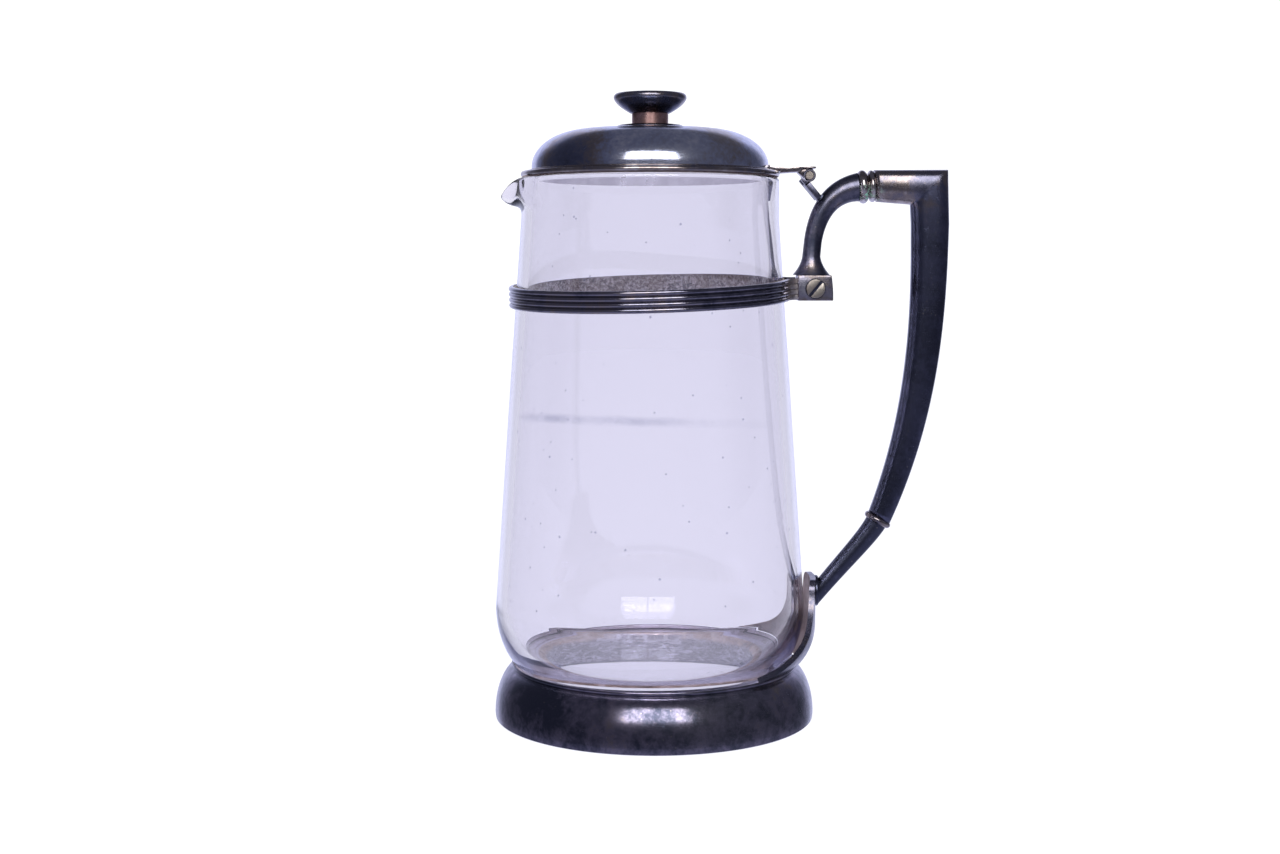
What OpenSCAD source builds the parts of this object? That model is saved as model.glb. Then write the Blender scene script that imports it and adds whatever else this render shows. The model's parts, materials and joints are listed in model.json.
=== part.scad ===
// Glass serving jug with silver-plated mounts: a conical glass body stands in a hollow ring foot,
// a reeded collar clamps round its neck and carries the handle, and a domed lid turns on the handle's hinge.
// The origin is the centre of the foot's underside. +X points to the handle, -X to the spout, +Z is up.

/* [Foot] */
// Radius at the foot's lower edge, its widest place
foot_r = 64.4; // [63.5:0.1:66]
// How far the foot's shell sits off the glass's axis, towards the handle
foot_shift = 1.7; // [0:0.1:1.8]
// Height of the foot's shoulder above the table
foot_h = 20.2; // [19.5:0.1:20.6]
// Thickness of the spun sheet that the foot is made of
foot_wall = 1.6; // [1:0.1:2]
// Radius of the open well inside the foot
well_r = 44; // [40:0.5:45]
// Height of the ledge that the glass stands on
seat_z = 18; // [17:0.1:18]

/* [Glass] */
// Height of the glass rim above the table
rim_z = 215.8; // [215:0.1:215.8]
// Outer radius of the glass at the neck
neck_r = 51.1; // [50:0.1:51.4]
// Height where the cone of the body runs into the straight neck
neck_z = 200; // [190:1:205]
// Outer radius of the glass at its widest, just above the heel
heel_r = 62.2; // [61:0.1:62.4]
// Height where the rounded heel starts
heel_z = 45; // [43:0.5:46]
// Wall thickness of the glass
glass_wall = 4.2; // [3:0.1:4.6]
// Thickness of the glass bottom
glass_base = 5; // [4:0.5:8]
// How far the pouring lip stands out from the neck
lip_out = 7.6; // [5:0.1:9]

/* [Collar] */
// Height of the collar's middle, on the jug's axis
collar_z = 170.8; // [169:0.1:172]
// Height of the collar strip
collar_h = 8.6; // [7:0.1:9]
// Outer radius of the collar over its reeds
collar_r = 56.2; // [56:0.1:57]
// How far the collar sits askew, lower at the front
collar_skew = 2.6; // [0:0.1:2.8]
// How far the collar rises towards the handle
collar_rise = 1.6; // [0:0.1:1.8]
// Number of reeds round the collar
reeds = 4; // [3:1:5]
// Diameter of the clamp screw's head
screw_head_d = 7.4; // [6:0.1:8.5]

/* [Handle] */
// Distance from the jug's axis to the inner side of the grip, at its top
grip_x = 103.7; // [102:0.1:105]
// Thickness of the grip at its top
grip_top = 15; // [13:0.1:16]
// Thickness of the grip at its lower end, measured level
grip_end = 11.2; // [10:0.1:12]
// Half the depth of the grip from front to back
grip_depth = 6.3; // [5:0.1:7]

/* [Hinge] */
// Distance of the hinge pin from the jug's axis
hinge_x = 62.7; // [62.5:0.1:62.9]
// Height of the hinge pin above the table
hinge_z = 216.8; // [216.7:0.1:216.8]
// Radius of the hinge barrel
knuckle_r = 2.5; // [2.3:0.1:2.5]
// Radius of the hinge pin
pin_r = 1.25; // [1:0.05:1.3]
// Running clearance between the pin and the lid's knuckle
pin_gap = 0.05; // [0.02:0.01:0.1]
// Whole length of the hinge barrel
barrel_w = 12; // [10:0.5:13]

/* [Lid] */
// Outer radius of the lid's rim ring
lid_r = 51.2; // [51:0.1:51.5]
// Radius of the dome where it meets the rim ring
dome_r = 46.9; // [46:0.1:47.2]
// Height of the dome's crown above the table
crown_z = 235.5; // [235:0.1:236]
// Thickness of the lid's sheet
lid_wall = 1.2; // [0.8:0.1:1.5]
// Radius of the knob's cap
cap_r = 14.4; // [12:0.1:16]
// Height of the knob's top above the table
cap_z = 249.1; // [248.5:0.1:251]
// Radius of the copper stem under the cap
stem_r = 7.2; // [6:0.1:8]

/* [Hidden] */
$fn = 96;
// Steps along each curved outline
steps = 10;
// Gap between surfaces that only lie near each other
near = 0.1;

// Foot
foot_low = 2;
foot_curve_x = 54;
foot_curve_h = 19.5;
foot_lip_in = 56.8;
foot_lip_out = 57.7;
foot_lip_z = 22.3;
base_t = 1.5;
seat_r = 55;

// Glass
heel_flat = 46;
bore_heel = 14.5;
bore_bend = heel_z + 1;
floor_z = seat_z + glass_base;
taper = (heel_r - neck_r) / (neck_z - heel_z);
function glass_r(z) = z > neck_z ? neck_r : heel_r - (z - heel_z) * taper;

// Collar
liner_t = 1.2;
collar_in = glass_r(collar_z) + liner_t;
strip_in = 2.2;
strip_out = 0.4;
strip_end_x = 50;
lug_x = 58.5;
lug_end = 71.9;
lug_low = 167.6;
lug_top = 177.7;
lug_in = 1.7;
lug_out = 6.3;
tongue_t = 1.6;
screw_x = 65.4;
screw_z = 172.4;
screw_r = 2;
screw_slot = 1;

// Handle
bead_tilt = 4;
bead_at = [82.4, 212.4];
bead_len = 6.9;
mitre_in = [103.2, 205.5];
mitre_out = [118, 219.3];
grip_bend_z = 195;
grip_end_z = 80.5;
grip_sweep = 18;
grip_drop = 112.9;
grip_power = 2.5;
tail_bead_t = 2.6;
tail_tilt = 30;
boss_x = 66.8;
boss_z = 50.4;
boss_r = 6.2;
boss_t = 1.3;

// Cradle
cradle_x = 52.9;
cradle_bend = 38.5;
cradle_b = 18.6;
cradle_t = 2.2;
cradle_top = 56.4;
cradle_tab = 13;
cradle_fan = 30;
cradle_low = foot_lip_z + 0.05;

// Hinge
leaf_t = 2.2;
leaf_len = 10.2;
leaf_turn = 50;
leaf_back = 2.6;
leaf_drop = 2.3;
pad_at = [67.9, 0, 207.5];
pad_size = [3.4, 5, 3.6];
pin_head_r = 1.75;
pin_head_t = 0.6;
pin_tail_r = 1.6;
mid_w = 6;
ledge_z = 219.6;
ledge_t = 0.7;
ledge_end = 65.4;

// Lid
flange_z = 216.1;
flange_t = 2.4;
dome_a = 21.9;
dome_z = 220.2;
crown_x = dome_r - dome_a;
crown_drop = 0.7;
dome_b = crown_z - crown_drop - dome_z;
rosette_r = 13.4;
rosette_t = 1.2;
rosette_edge = 0.9;
stud_r = 2;
stud_below = 5.2;
nut_r = 4;
nut_t = 2.8;
bead_in = 44.6;
bead_out = 45.6;
bead_drop = 1.4;
stem_low = crown_z + rosette_t;
stem_top = 241.2;

// Points on an ellipse's arc from angle a0 to angle a1
function arc(cx, cz, a, b, a0, a1, n = steps) =
    [for (i = [0 : n]) let (t = a0 + (a1 - a0) * i / n) [cx + a * cos(t), cz + b * sin(t)]];

// A point and a heading on the cubic curve through four control points
function curve(p, t) =
    pow(1 - t, 3) * p[0] + 3 * pow(1 - t, 2) * t * p[1] + 3 * (1 - t) * t * t * p[2] + t * t * t * p[3];
function heading(p, t) =
    let (d = pow(1 - t, 2) * (p[1] - p[0]) + 2 * (1 - t) * t * (p[2] - p[1]) + t * t * (p[3] - p[2]))
    atan2(d[1], d[0]);

// A closed ring of points between an inner and an outer point of the handle's plane.
// Each section point runs from -1 at the inner side to 1 at the outer side, and -1 to 1 in depth.
function ring(low, high, depth, section) =
    [for (s = section) let (m = (s[0] + 1) / 2)
        [low[0] + (high[0] - low[0]) * m, s[1] * depth, low[1] + (high[1] - low[1]) * m]];

// The same ring, set square to a heading at a centre
function square_ring(c, turn, half, depth, section) =
    let (n = [-sin(turn), cos(turn)])
    ring(c - n * half, c + n * half, depth, section);

round_section = [for (i = [0 : 19]) [cos(i * 18), sin(i * 18)]];
// The grip is a soft-edged oval with flats at its inner and outer side and a crowned cheek
grip_section = [[1, -0.45], [1, 0.45], [0.74, 0.9], [0.1, 1], [-0.54, 0.92], [-1, 0.42],
                [-1, -0.42], [-0.54, -0.92], [0.1, -1], [0.74, -0.9]];

// A closed skin over rings that all have the same number of points
module skin(rings) {
    n = len(rings[0]);
    m = len(rings);
    sides = [for (i = [0 : m - 2]) for (j = [0 : n - 1])
        [i * n + j, i * n + (j + 1) % n, (i + 1) * n + (j + 1) % n, (i + 1) * n + j]];
    first = [for (j = [n - 1 : -1 : 0]) j];
    last = [for (j = [0 : n - 1]) (m - 1) * n + j];
    polyhedron(points = [for (r = rings) for (p = r) p], faces = concat(sides, [first, last]));
}

// A rod across the jug, along Y, from y0 to y1
module cross_rod(x, z, r, y0, y1) {
    translate([x, y1, z])
        rotate([90, 0, 0])
            cylinder(r = r, h = y1 - y0);
}

// A flat plate drawn in the handle's plane, from y0 to y1
module side_plate(points, y0, y1) {
    translate([0, y1, 0])
        rotate([90, 0, 0])
            linear_extrude(y1 - y0)
                polygon(points);
}

// Spun sheet with a rounded flank and a small upright lip at its shoulder
module foot_shell() {
    flank_a = foot_r - foot_curve_x;
    top = asin((foot_h - foot_low) / foot_curve_h);
    inner_top = 66;
    groove = 0.4;
    color("dimgray")
        translate([foot_shift, 0, 0])
            rotate_extrude()
                polygon(concat(
                    [[foot_r - 0.2 - foot_wall, 0], [foot_r - 0.2, 0]],
                    arc(foot_curve_x, foot_low, flank_a, foot_curve_h, 0, top),
                    [[foot_lip_out, foot_h], [foot_lip_out - groove, foot_h + groove],
                     [foot_lip_out, foot_h + 2 * groove], [foot_lip_out, foot_lip_z - groove],
                     [foot_lip_out - groove, foot_lip_z], [foot_lip_in, foot_lip_z],
                     [foot_lip_in, foot_h]],
                    arc(foot_curve_x, foot_low, flank_a - foot_wall, foot_curve_h - foot_wall,
                        inner_top, 0)));
}

// Flat ring that closes the foot underneath
module foot_base_ring() {
    color("gray")
        difference() {
            translate([foot_shift, 0, 0])
                cylinder(r = foot_r - 0.2 - foot_wall - near, h = base_t);
            translate([0, 0, -1])
                cylinder(r = well_r, h = base_t + 2);
        }
}

// Inner wall of the foot, turned out at the top into the ledge that carries the glass
module foot_seat_ring() {
    wall = 1.5;
    turn_r = 4;
    color("darkgoldenrod")
        rotate_extrude()
            polygon(concat(
                [[well_r, base_t]],
                arc(well_r + turn_r, seat_z - turn_r, turn_r, turn_r, 180, 90, 6),
                [[seat_r, seat_z], [seat_r, seat_z - wall]],
                arc(well_r + turn_r, seat_z - turn_r, turn_r - wall, turn_r - wall, 90, 180, 6),
                [[well_r + wall, base_t]]));
}

// Half-oval of the pouring lip at a distance out from the jug's axis
function lip_ring(x, top, half, deep) =
    [for (i = [0 : 12]) let (t = 180 + i * 15) [x, half * cos(t), top + deep * sin(t)]];

// Outer form of the pouring lip; the channel is the same form, thinner by the wall and open at the top
module lip_form(grow, rise, far) {
    reach = neck_r + lip_out;
    skin([lip_ring(-neck_r + glass_wall + 1, rim_z + rise, 15 + grow, 14 + grow + rise),
          lip_ring(-neck_r - 1, rim_z + rise, 10.5 + grow, 11 + grow + rise),
          lip_ring(-neck_r - 4, rim_z - 2 + rise, 7.5 + grow, 7 + grow + rise),
          lip_ring(-reach - far, rim_z - 7 + rise, 4.6 + grow, 2.2 + grow + rise)]);
}

// Conical glass body with a rounded heel, a thick bottom and a pulled pouring lip
module glass_body() {
    color("lavender", 0.4)
        difference() {
            union() {
                rotate_extrude()
                    polygon(concat(
                        [[0, seat_z], [heel_flat, seat_z]],
                        arc(heel_flat, heel_z, heel_r - heel_flat, heel_z - seat_z, -86, 0, 16),
                        [[neck_r, neck_z], [neck_r, rim_z - 1], [neck_r - 1, rim_z],
                         [neck_r - glass_wall + 1, rim_z], [neck_r - glass_wall, rim_z - 1],
                         [neck_r - glass_wall, neck_z]],
                        arc(heel_r - glass_wall - bore_heel, bore_bend, bore_heel,
                            bore_bend - floor_z, 0, -90, 16),
                        [[0, floor_z]]));
                difference() {
                    lip_form(0, 0, 0);
                    translate([0, 0, neck_z - 10])
                        cylinder(r = neck_r - 1, h = 40);
                }
            }
            lip_form(-2.2, 2.2, 2);
        }
}

// Cross-section of the collar strip: flat inside, half-round reeds outside
reed_h = collar_h / reeds;
function strip(in, out) =
    concat([[in, collar_h / 2], [in, -collar_h / 2]],
           [for (k = [0 : reeds - 1]) each arc(out - reed_h * 0.45, -collar_h / 2 + reed_h * (k + 0.5),
                                               reed_h * 0.45, reed_h * 0.46, -80, 80, 6)]);

// Sets the askew collar in place
module on_collar() {
    translate([0, 0, collar_z])
        rotate([collar_skew, -collar_rise, 0])
            children();
}

// Packing strip between the glass and the collar, tapered inside to the glass
module collar_liner() {
    reach = 12;
    color("tan")
        difference() {
            on_collar()
                cylinder(r = collar_in, h = collar_h - 0.4, center = true);
            translate([0, 0, collar_z - reach])
                cylinder(r1 = glass_r(collar_z - reach) + near, r2 = glass_r(collar_z + reach) + near,
                         h = 2 * reach);
            on_collar()
                translate([0, -lug_out, -collar_h])
                    cube([2 * collar_r, 2 * lug_out, 2 * collar_h]);
        }
}

// Reeded strip, open at the handle, with its two ends turned out towards the lugs
module collar_band() {
    end_out = lug_out + strip_out;
    end_in = lug_out - strip_in;
    color("slategray")
        on_collar()
            difference() {
                union() {
                    rotate_extrude()
                        polygon(strip(collar_in, collar_r));
                    for (side = [-1, 1])
                        mirror([0, side > 0 ? 0 : 1, 0])
                            translate([lug_x - 0.2, 0, 0])
                                rotate([90, 0, -90])
                                    linear_extrude(lug_x - strip_end_x)
                                        polygon([for (p = strip(end_in, end_out)) [-p[0], p[1]]]);
                }
                cylinder(r = collar_in, h = collar_h + 2, center = true);
                translate([0, -end_in, -collar_h])
                    cube([2 * collar_r, 2 * end_in, 2 * collar_h]);
            }
}

// Side outline of a clamp lug, with a gently bowed outer end
lug_outline = concat([[lug_x, lug_low], [lug_x, lug_top]],
                     [for (i = [0 : 6]) let (s = i / 6)
                         [lug_end - 0.6 + s * 1.2 + 1.2 * s * (1 - s), lug_top - s * (lug_top - lug_low)]]);

// Front lug, with a clear hole for the screw
module collar_lug_front() {
    color("slategray")
        difference() {
            side_plate(lug_outline, -lug_out, -lug_in);
            cross_rod(screw_x, screw_z, screw_r + 0.1, -lug_out - 1, 0);
        }
}

// Rear lug, tapped for the screw
module collar_lug_rear() {
    color("slategray")
        difference() {
            side_plate(lug_outline, lug_in, lug_out);
            cross_rod(screw_x, screw_z, screw_r, 0, lug_out + 1);
        }
}

// Slotted cheese-head screw that draws the lugs together on the handle's tongue
module clamp_screw() {
    head_h = 1.6;
    slot_deep = 0.8;
    color("darkkhaki")
        difference() {
            union() {
                cross_rod(screw_x, screw_z, screw_r, -lug_out - 0.5, lug_out + 0.6);
                cross_rod(screw_x, screw_z, screw_head_d / 2, -lug_out - head_h, -lug_out);
            }
            translate([screw_x, -lug_out - head_h, screw_z])
                rotate([0, -50, 0])
                    cube([screw_head_d + 2, 2 * slot_deep, screw_slot], center = true);
        }
}

// Centre line of the arm, and its rings from the flared foot up to the beads
arm_path = [[64.2, 179], [63.7, 196], [67.9, 210.3], bead_at];
arm_rings = concat(
    [for (z = [177.8, 178.8, 180, 181.4, 183, 185]) let (f = pow((186.5 - z) / 8.7, 2))
        square_ring([64.2, z], 90, 3.5 + 3.9 * f, 3.5 + 2.9 * f, round_section)],
    [for (i = [4 : 15]) let (t = i / 16, half = 3.45 + 2.15 * pow(t, 2.2))
        square_ring(curve(arm_path, t), heading(arm_path, t), half, half * 0.95, round_section)],
    [square_ring(bead_at, bead_tilt, 5.7, 5.4, round_section)]);

// Curved upper arm with a flared foot on the lugs and a tongue between them
module handle_arm() {
    color("darkslategray")
        union() {
            skin(arm_rings);
            difference() {
                side_plate([[lug_x + 0.3, lug_low + 0.3], [lug_x + 0.3, lug_top + 0.2],
                            [lug_end - 1, lug_top + 0.2], [lug_end, lug_low + 0.3]], -tongue_t, tongue_t);
                cross_rod(screw_x, screw_z, screw_r + 0.1, -5, 5);
            }
        }
}

// Turned piece with two rounded beads where the arm meets the top bar
module upper_bead_rings() {
    color("gray")
        translate([bead_at[0], 0, bead_at[1]])
            rotate([0, 90 - bead_tilt, 0])
                rotate_extrude()
                    polygon(concat(
                        [[0, 0]],
                        arc(4.6, 1.9, 2, 1.9, -90, 90),
                        arc(4.5, bead_len - 1.4, 1.8, 1.4, -90, 90),
                        [[0, bead_len]]));
}

// Square top bar of the handle, mitred into the grip
module handle_top_bar() {
    start = bead_at + bead_len * [cos(bead_tilt), sin(bead_tilt)];
    color("darkgray")
        skin([square_ring(start, bead_tilt, 6.3, grip_depth - 0.5, grip_section),
              ring(mitre_in, mitre_out, grip_depth, grip_section)]);
}

// How far the grip has swept in towards the jug at a height
function grip_in(z) = z > grip_bend_z ? 0 : grip_sweep * pow((grip_bend_z - z) / grip_drop, grip_power);
function grip_ring(z) =
    let (w = grip_top + (grip_end - grip_top) * (grip_bend_z - z) / grip_drop, tilt = tail_tilt *
         pow((grip_bend_z - min(z, grip_bend_z)) / (grip_bend_z - grip_end_z), grip_power - 1),
         c = [grip_x + grip_top / 2 - grip_in(z), z])
    square_ring(c, 270 - tilt, w / 2 * cos(tilt), grip_depth * (0.72 + 0.28 * z / grip_bend_z), grip_section);

// Long curved grip
module handle_grip() {
    color("darkslategray")
        skin(concat([ring(mitre_in, mitre_out, grip_depth, grip_section)],
                    [for (i = [0 : 12]) grip_ring(198 - (198 - grip_end_z) * i / 12)]));
}

// Place and heading of the grip's lower end
tail_from = [grip_x + grip_top / 2 - grip_in(grip_end_z), grip_end_z];
tail_dir = [-sin(tail_tilt), -cos(tail_tilt)];

// Single rounded bead between the grip and the tail
module lower_bead_ring() {
    color("gray")
        translate([tail_from[0], 0, tail_from[1]])
            rotate([0, 180 + tail_tilt, 0])
                rotate_extrude()
                    polygon(concat([[0, 0]], arc(4.4, tail_bead_t / 2, 1.3, tail_bead_t / 2, -90, 90),
                                   [[0, tail_bead_t]]));
}

// Thin lower end of the handle, tapering down to the boss
tail_start = tail_from + tail_bead_t * tail_dir;
tail_path = [tail_start, tail_start + 8 * tail_dir, [78.2, 62.4], [boss_x - 1, 47.1]];
module handle_tail() {
    color("darkslategray")
        difference() {
            skin(concat([square_ring(tail_start, 270 - tail_tilt, 4.4, 4.3, round_section)],
                        [for (i = [1 : 9]) let (t = i / 9, half = 4.4 - 1.1 * t)
                            square_ring(curve(tail_path, t), heading(tail_path, t), half, half * 0.95,
                                        round_section)]));
            translate([boss_x - 8, -10, boss_z - 20])
                cube([8 + boss_t + 0.02, 20, 40]);
        }
}

// Round plate that joins the tail to the cradle
module tail_boss() {
    color("slategray")
        translate([boss_x, 0, boss_z])
            rotate([0, 90, 0])
                cylinder(r = boss_r, h = boss_t);
}

// Width of the cradle from its middle to one side, at a height
function cradle_half(z) = cradle_tab + cradle_fan * pow((cradle_top - z) / (cradle_top - cradle_low), 2.2);

// Plate that stands on the foot and wraps the heel of the glass: a tab at the top, a wide fan below
module heel_cradle() {
    a = boss_x - cradle_x;
    turn = asin((cradle_bend - cradle_low) / cradle_b);
    outer = arc(cradle_x, cradle_bend, a, cradle_b, 0, -turn);
    inner = arc(cradle_x, cradle_bend, a - cradle_t, cradle_b - cradle_t, -turn, 0);
    n = 14;
    corner = 4;
    low = cradle_top - corner;
    fan = concat([[cradle_tab - corner, cradle_top], [cradle_tab - 0.3 * corner, cradle_top - 0.3 * corner]],
                 [for (i = [0 : n]) let (z = low - (low - cradle_low) * i / n) [cradle_half(z), z]]);
    count = len(fan);
    color("rosybrown")
        intersection() {
            rotate_extrude()
                polygon(concat([[boss_x - cradle_t, cradle_top], [boss_x, cradle_top]], outer,
                               [[foot_lip_in, cradle_low]], inner));
            translate([30, 0, 0])
                rotate([90, 0, 90])
                    linear_extrude(60)
                        polygon(concat(fan, [for (i = [count - 1 : -1 : 0]) [-fan[i][0], fan[i][1]]]));
        }
}

// Fixed half of the hinge: a leaf brazed to the arm with the two outer knuckles
module hinge_leaf() {
    color("gray")
        difference() {
            union() {
                translate([hinge_x, 0, hinge_z - leaf_drop])
                    rotate([0, leaf_turn, 0])
                        translate([-leaf_back, -barrel_w / 2, -leaf_t])
                            cube([leaf_len, barrel_w, leaf_t]);
                cross_rod(hinge_x, hinge_z, knuckle_r, -barrel_w / 2, barrel_w / 2);
                translate(pad_at)
                    rotate([0, leaf_turn, 0])
                        cube(pad_size, center = true);
            }
            cross_rod(hinge_x, hinge_z, pin_r, -barrel_w, barrel_w);
            translate([hinge_x - 8, -mid_w / 2 - near, hinge_z - knuckle_r - 0.3])
                cube([16, mid_w + 2 * near, 2 * knuckle_r + 1]);
            skin(arm_rings);
        }
}

// Headed pin, tight in the outer knuckles and free in the lid's knuckle
module hinge_pin() {
    end = barrel_w / 2;
    color("silver")
        union() {
            cross_rod(hinge_x, hinge_z, pin_r, -end, end);
            cross_rod(hinge_x, hinge_z, pin_head_r, -end - pin_head_t, -end);
            cross_rod(hinge_x, hinge_z, pin_tail_r, end, end + pin_head_t / 2);
        }
}

// Domed sheet with a shallow crown
module lid_dome() {
    color("silver")
        rotate_extrude()
            polygon(concat(
                [[dome_r, flange_z + flange_t]],
                arc(crown_x, dome_z, dome_a, dome_b, 0, 90, 14),
                [for (s = [0.8, 0.6, 0.4, 0.2]) [crown_x * s, crown_z - crown_drop * s * s]],
                [[stud_r + near, crown_z], [stud_r + near, crown_z - lid_wall]],
                [for (s = [0.2, 0.4, 0.6, 0.8]) [crown_x * s, crown_z - lid_wall - crown_drop * s * s]],
                arc(crown_x, dome_z, dome_a - lid_wall, dome_b - lid_wall, 90, 0, 14),
                [[dome_r - lid_wall, flange_z + flange_t]]));
}

// Heavy rim ring under the dome, with a rounded edge and a small bead that rests on the glass
module lid_rim_ring() {
    mid = flange_z + flange_t / 2;
    color("gray")
        rotate_extrude()
            polygon(concat(
                [[bead_in, flange_z + flange_t], [bead_in, flange_z - bead_drop],
                 [bead_out, flange_z - bead_drop], [bead_out + 0.6, flange_z]],
                arc(lid_r - flange_t / 2, mid, flange_t / 2, flange_t / 2, -90, 90)));
}

// Moving half of the hinge: a tongue on the rim ring, a stop ledge and the middle knuckle
module lid_hinge_arm() {
    top = flange_z + flange_t + 0.05;
    under = ledge_z + 0.3;
    tongue = [[45, top], [45, 221.2], [52, 221], [58, 220.7], [ledge_end, ledge_z + ledge_t],
              [ledge_end, ledge_z], [60.2, ledge_z], [58.9, 218.3], [51.4, 217.9], [51.4, top]];
    web = [[58.3, 218.1], [59.8, under], [63.9, under], [64.5, 218.9], [hinge_x, hinge_z + 0.5],
           [hinge_x - 2.4, hinge_z - 0.5]];
    color("dimgray")
        difference() {
            union() {
                side_plate(tongue, -4.6, 4.6);
                cross_rod(hinge_x, hinge_z, knuckle_r, -mid_w / 2, mid_w / 2);
                side_plate(web, -mid_w / 2, mid_w / 2);
            }
            cross_rod(hinge_x, hinge_z, pin_r + pin_gap, -barrel_w, barrel_w);
            cylinder(r = dome_r + 0.05, h = crown_z);
        }
}

// Thin dished washer under the knob
module knob_rosette() {
    color("dimgray")
        rotate_extrude()
            polygon([[stud_r + near, crown_z], [nut_r, crown_z], [rosette_r, crown_z - 0.15],
                     [rosette_r, crown_z + 0.7], [rosette_r - rosette_edge, stem_low],
                     [stud_r + near, stem_low]]);
}

// Bare copper stem
module knob_stem() {
    color("peru")
        difference() {
            translate([0, 0, stem_low])
                cylinder(r = stem_r, h = stem_top - stem_low);
            cylinder(r = stud_r, h = cap_z);
        }
}

// Turned mushroom cap with a flaring underside and a rounded edge
module knob_cap() {
    edge = 1.6;
    flare = [[stem_r + 0.9, stem_top + 0.3], [stem_r + 3.2, stem_top + 1.7],
             [cap_r - 0.9, cap_z - 4.5], [cap_r, cap_z - 2]];
    color("darkslateblue")
        rotate_extrude()
            polygon(concat(
                [[0, stem_top], [stem_r, stem_top]],
                [for (i = [0 : 8]) curve(flare, i / 8)],
                arc(cap_r - edge, cap_z - edge, edge, edge, 0, 75, 6),
                [[cap_r - 3.2, cap_z], [0, cap_z]]));
}

// Threaded stud from the cap down through the lid
module knob_stud() {
    color("darkkhaki")
        translate([0, 0, crown_z - stud_below])
            cylinder(r = stud_r, h = stem_top - crown_z + stud_below);
}

// Nut on the stud, inside the lid
module knob_nut() {
    color("darkkhaki")
        translate([0, 0, crown_z - lid_wall - near - nut_t])
            difference() {
                cylinder(r = nut_r, h = nut_t, $fn = 6);
                translate([0, 0, -1])
                    cylinder(r = stud_r, h = nut_t + 2);
            }
}

foot_shell();
foot_base_ring();
foot_seat_ring();
glass_body();
collar_liner();
collar_band();
collar_lug_front();
collar_lug_rear();
clamp_screw();
handle_arm();
upper_bead_rings();
handle_top_bar();
handle_grip();
lower_bead_ring();
handle_tail();
tail_boss();
heel_cradle();
hinge_leaf();
hinge_pin();
lid_dome();
lid_rim_ring();
lid_hinge_arm();
knob_rosette();
knob_stem();
knob_cap();
knob_stud();
knob_nut();
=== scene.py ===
import json
import math

import bmesh
import bpy
from mathutils import Matrix, Vector

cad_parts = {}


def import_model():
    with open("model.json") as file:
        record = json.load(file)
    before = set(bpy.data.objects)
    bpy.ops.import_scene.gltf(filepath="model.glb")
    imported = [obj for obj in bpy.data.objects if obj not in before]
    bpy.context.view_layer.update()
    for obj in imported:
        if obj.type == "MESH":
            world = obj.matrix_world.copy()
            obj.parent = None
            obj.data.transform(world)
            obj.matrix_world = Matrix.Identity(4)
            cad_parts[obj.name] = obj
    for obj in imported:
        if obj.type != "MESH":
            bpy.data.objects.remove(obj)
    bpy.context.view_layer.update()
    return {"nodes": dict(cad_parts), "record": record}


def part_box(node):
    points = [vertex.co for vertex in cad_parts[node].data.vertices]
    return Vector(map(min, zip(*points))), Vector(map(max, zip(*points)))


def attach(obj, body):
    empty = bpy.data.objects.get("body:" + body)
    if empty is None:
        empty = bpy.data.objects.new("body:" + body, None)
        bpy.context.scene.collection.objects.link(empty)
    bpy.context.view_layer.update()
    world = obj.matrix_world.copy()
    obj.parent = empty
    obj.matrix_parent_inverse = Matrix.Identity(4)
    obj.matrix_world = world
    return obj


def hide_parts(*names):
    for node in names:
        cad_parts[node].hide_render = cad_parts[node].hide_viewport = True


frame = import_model()

MM = 0.001
SEGS = 224
ROUND_SIDES = 48


# ------------------------ sizes, in millimetres
def box_mm(node):
    """The lower and the upper corner of a CAD node's box."""
    low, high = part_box(node)
    return [c / MM for c in low], [c / MM for c in high]


FOOT_LO, FOOT_HI = box_mm("foot_shell")
SEAT_HI = box_mm("foot_seat_ring")[1]
GLASS_LO, GLASS_HI = box_mm("glass_body")
FLANGE_HI = box_mm("lid_rim_ring")[1]
DOME_HI = box_mm("lid_dome")[1]
CAP_HI = box_mm("knob_cap")[1]
STEM_LO, STEM_HI = box_mm("knob_stem")
ROSETTE_HI = box_mm("knob_rosette")[1]
LUG_LO, LUG_HI = box_mm("collar_lug_front")
SCREW_LO, SCREW_HI = box_mm("clamp_screw")
PIN_LO, PIN_HI = box_mm("hinge_pin")
TONGUE_HI = box_mm("lid_hinge_arm")[1]
BOSS_LO, BOSS_HI = box_mm("tail_boss")
CRADLE_LO, CRADLE_HI = box_mm("heel_cradle")

HINGE = [c / MM for c in frame["record"]["behaviour"]["joints"][0]["pos_m"]]

# Foot
FOOT_X = (FOOT_LO[0] + FOOT_HI[0]) / 2
FOOT_R = FOOT_HI[1]
FOOT_WALL = 1.6
FOOT_H = 20.2
FOOT_LOW = 2
FOOT_CURVE_X = 54
FOOT_CURVE_H = 19.5
FOOT_LIP_IN = 56.8
FOOT_LIP_OUT = 57.7
FOOT_LIP_Z = FOOT_HI[2]
WELL_R = 44
LEDGE_W = 4.6

# Glass
HEEL_R = GLASS_HI[1]
HEEL_Z = 45
HEEL_FLAT = 46
SEAT_Z = GLASS_LO[2]
RIM_Z = GLASS_HI[2]
NECK_R = 51.1
NECK_Z = 200
RIM_ROUND = 1.2
GLASS_WALL = 4.2
BORE_HEEL = 14.5
BORE_BEND = HEEL_Z + 1
FLOOR_Z = SEAT_Z + 5
LIP_LOW_Z = 202.5
LIP_HALF = 27
LIP_PATH = ((0, LIP_LOW_Z), (0.6, 206.2), (4.6, 203.4), (8.3, 208.4))

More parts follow.
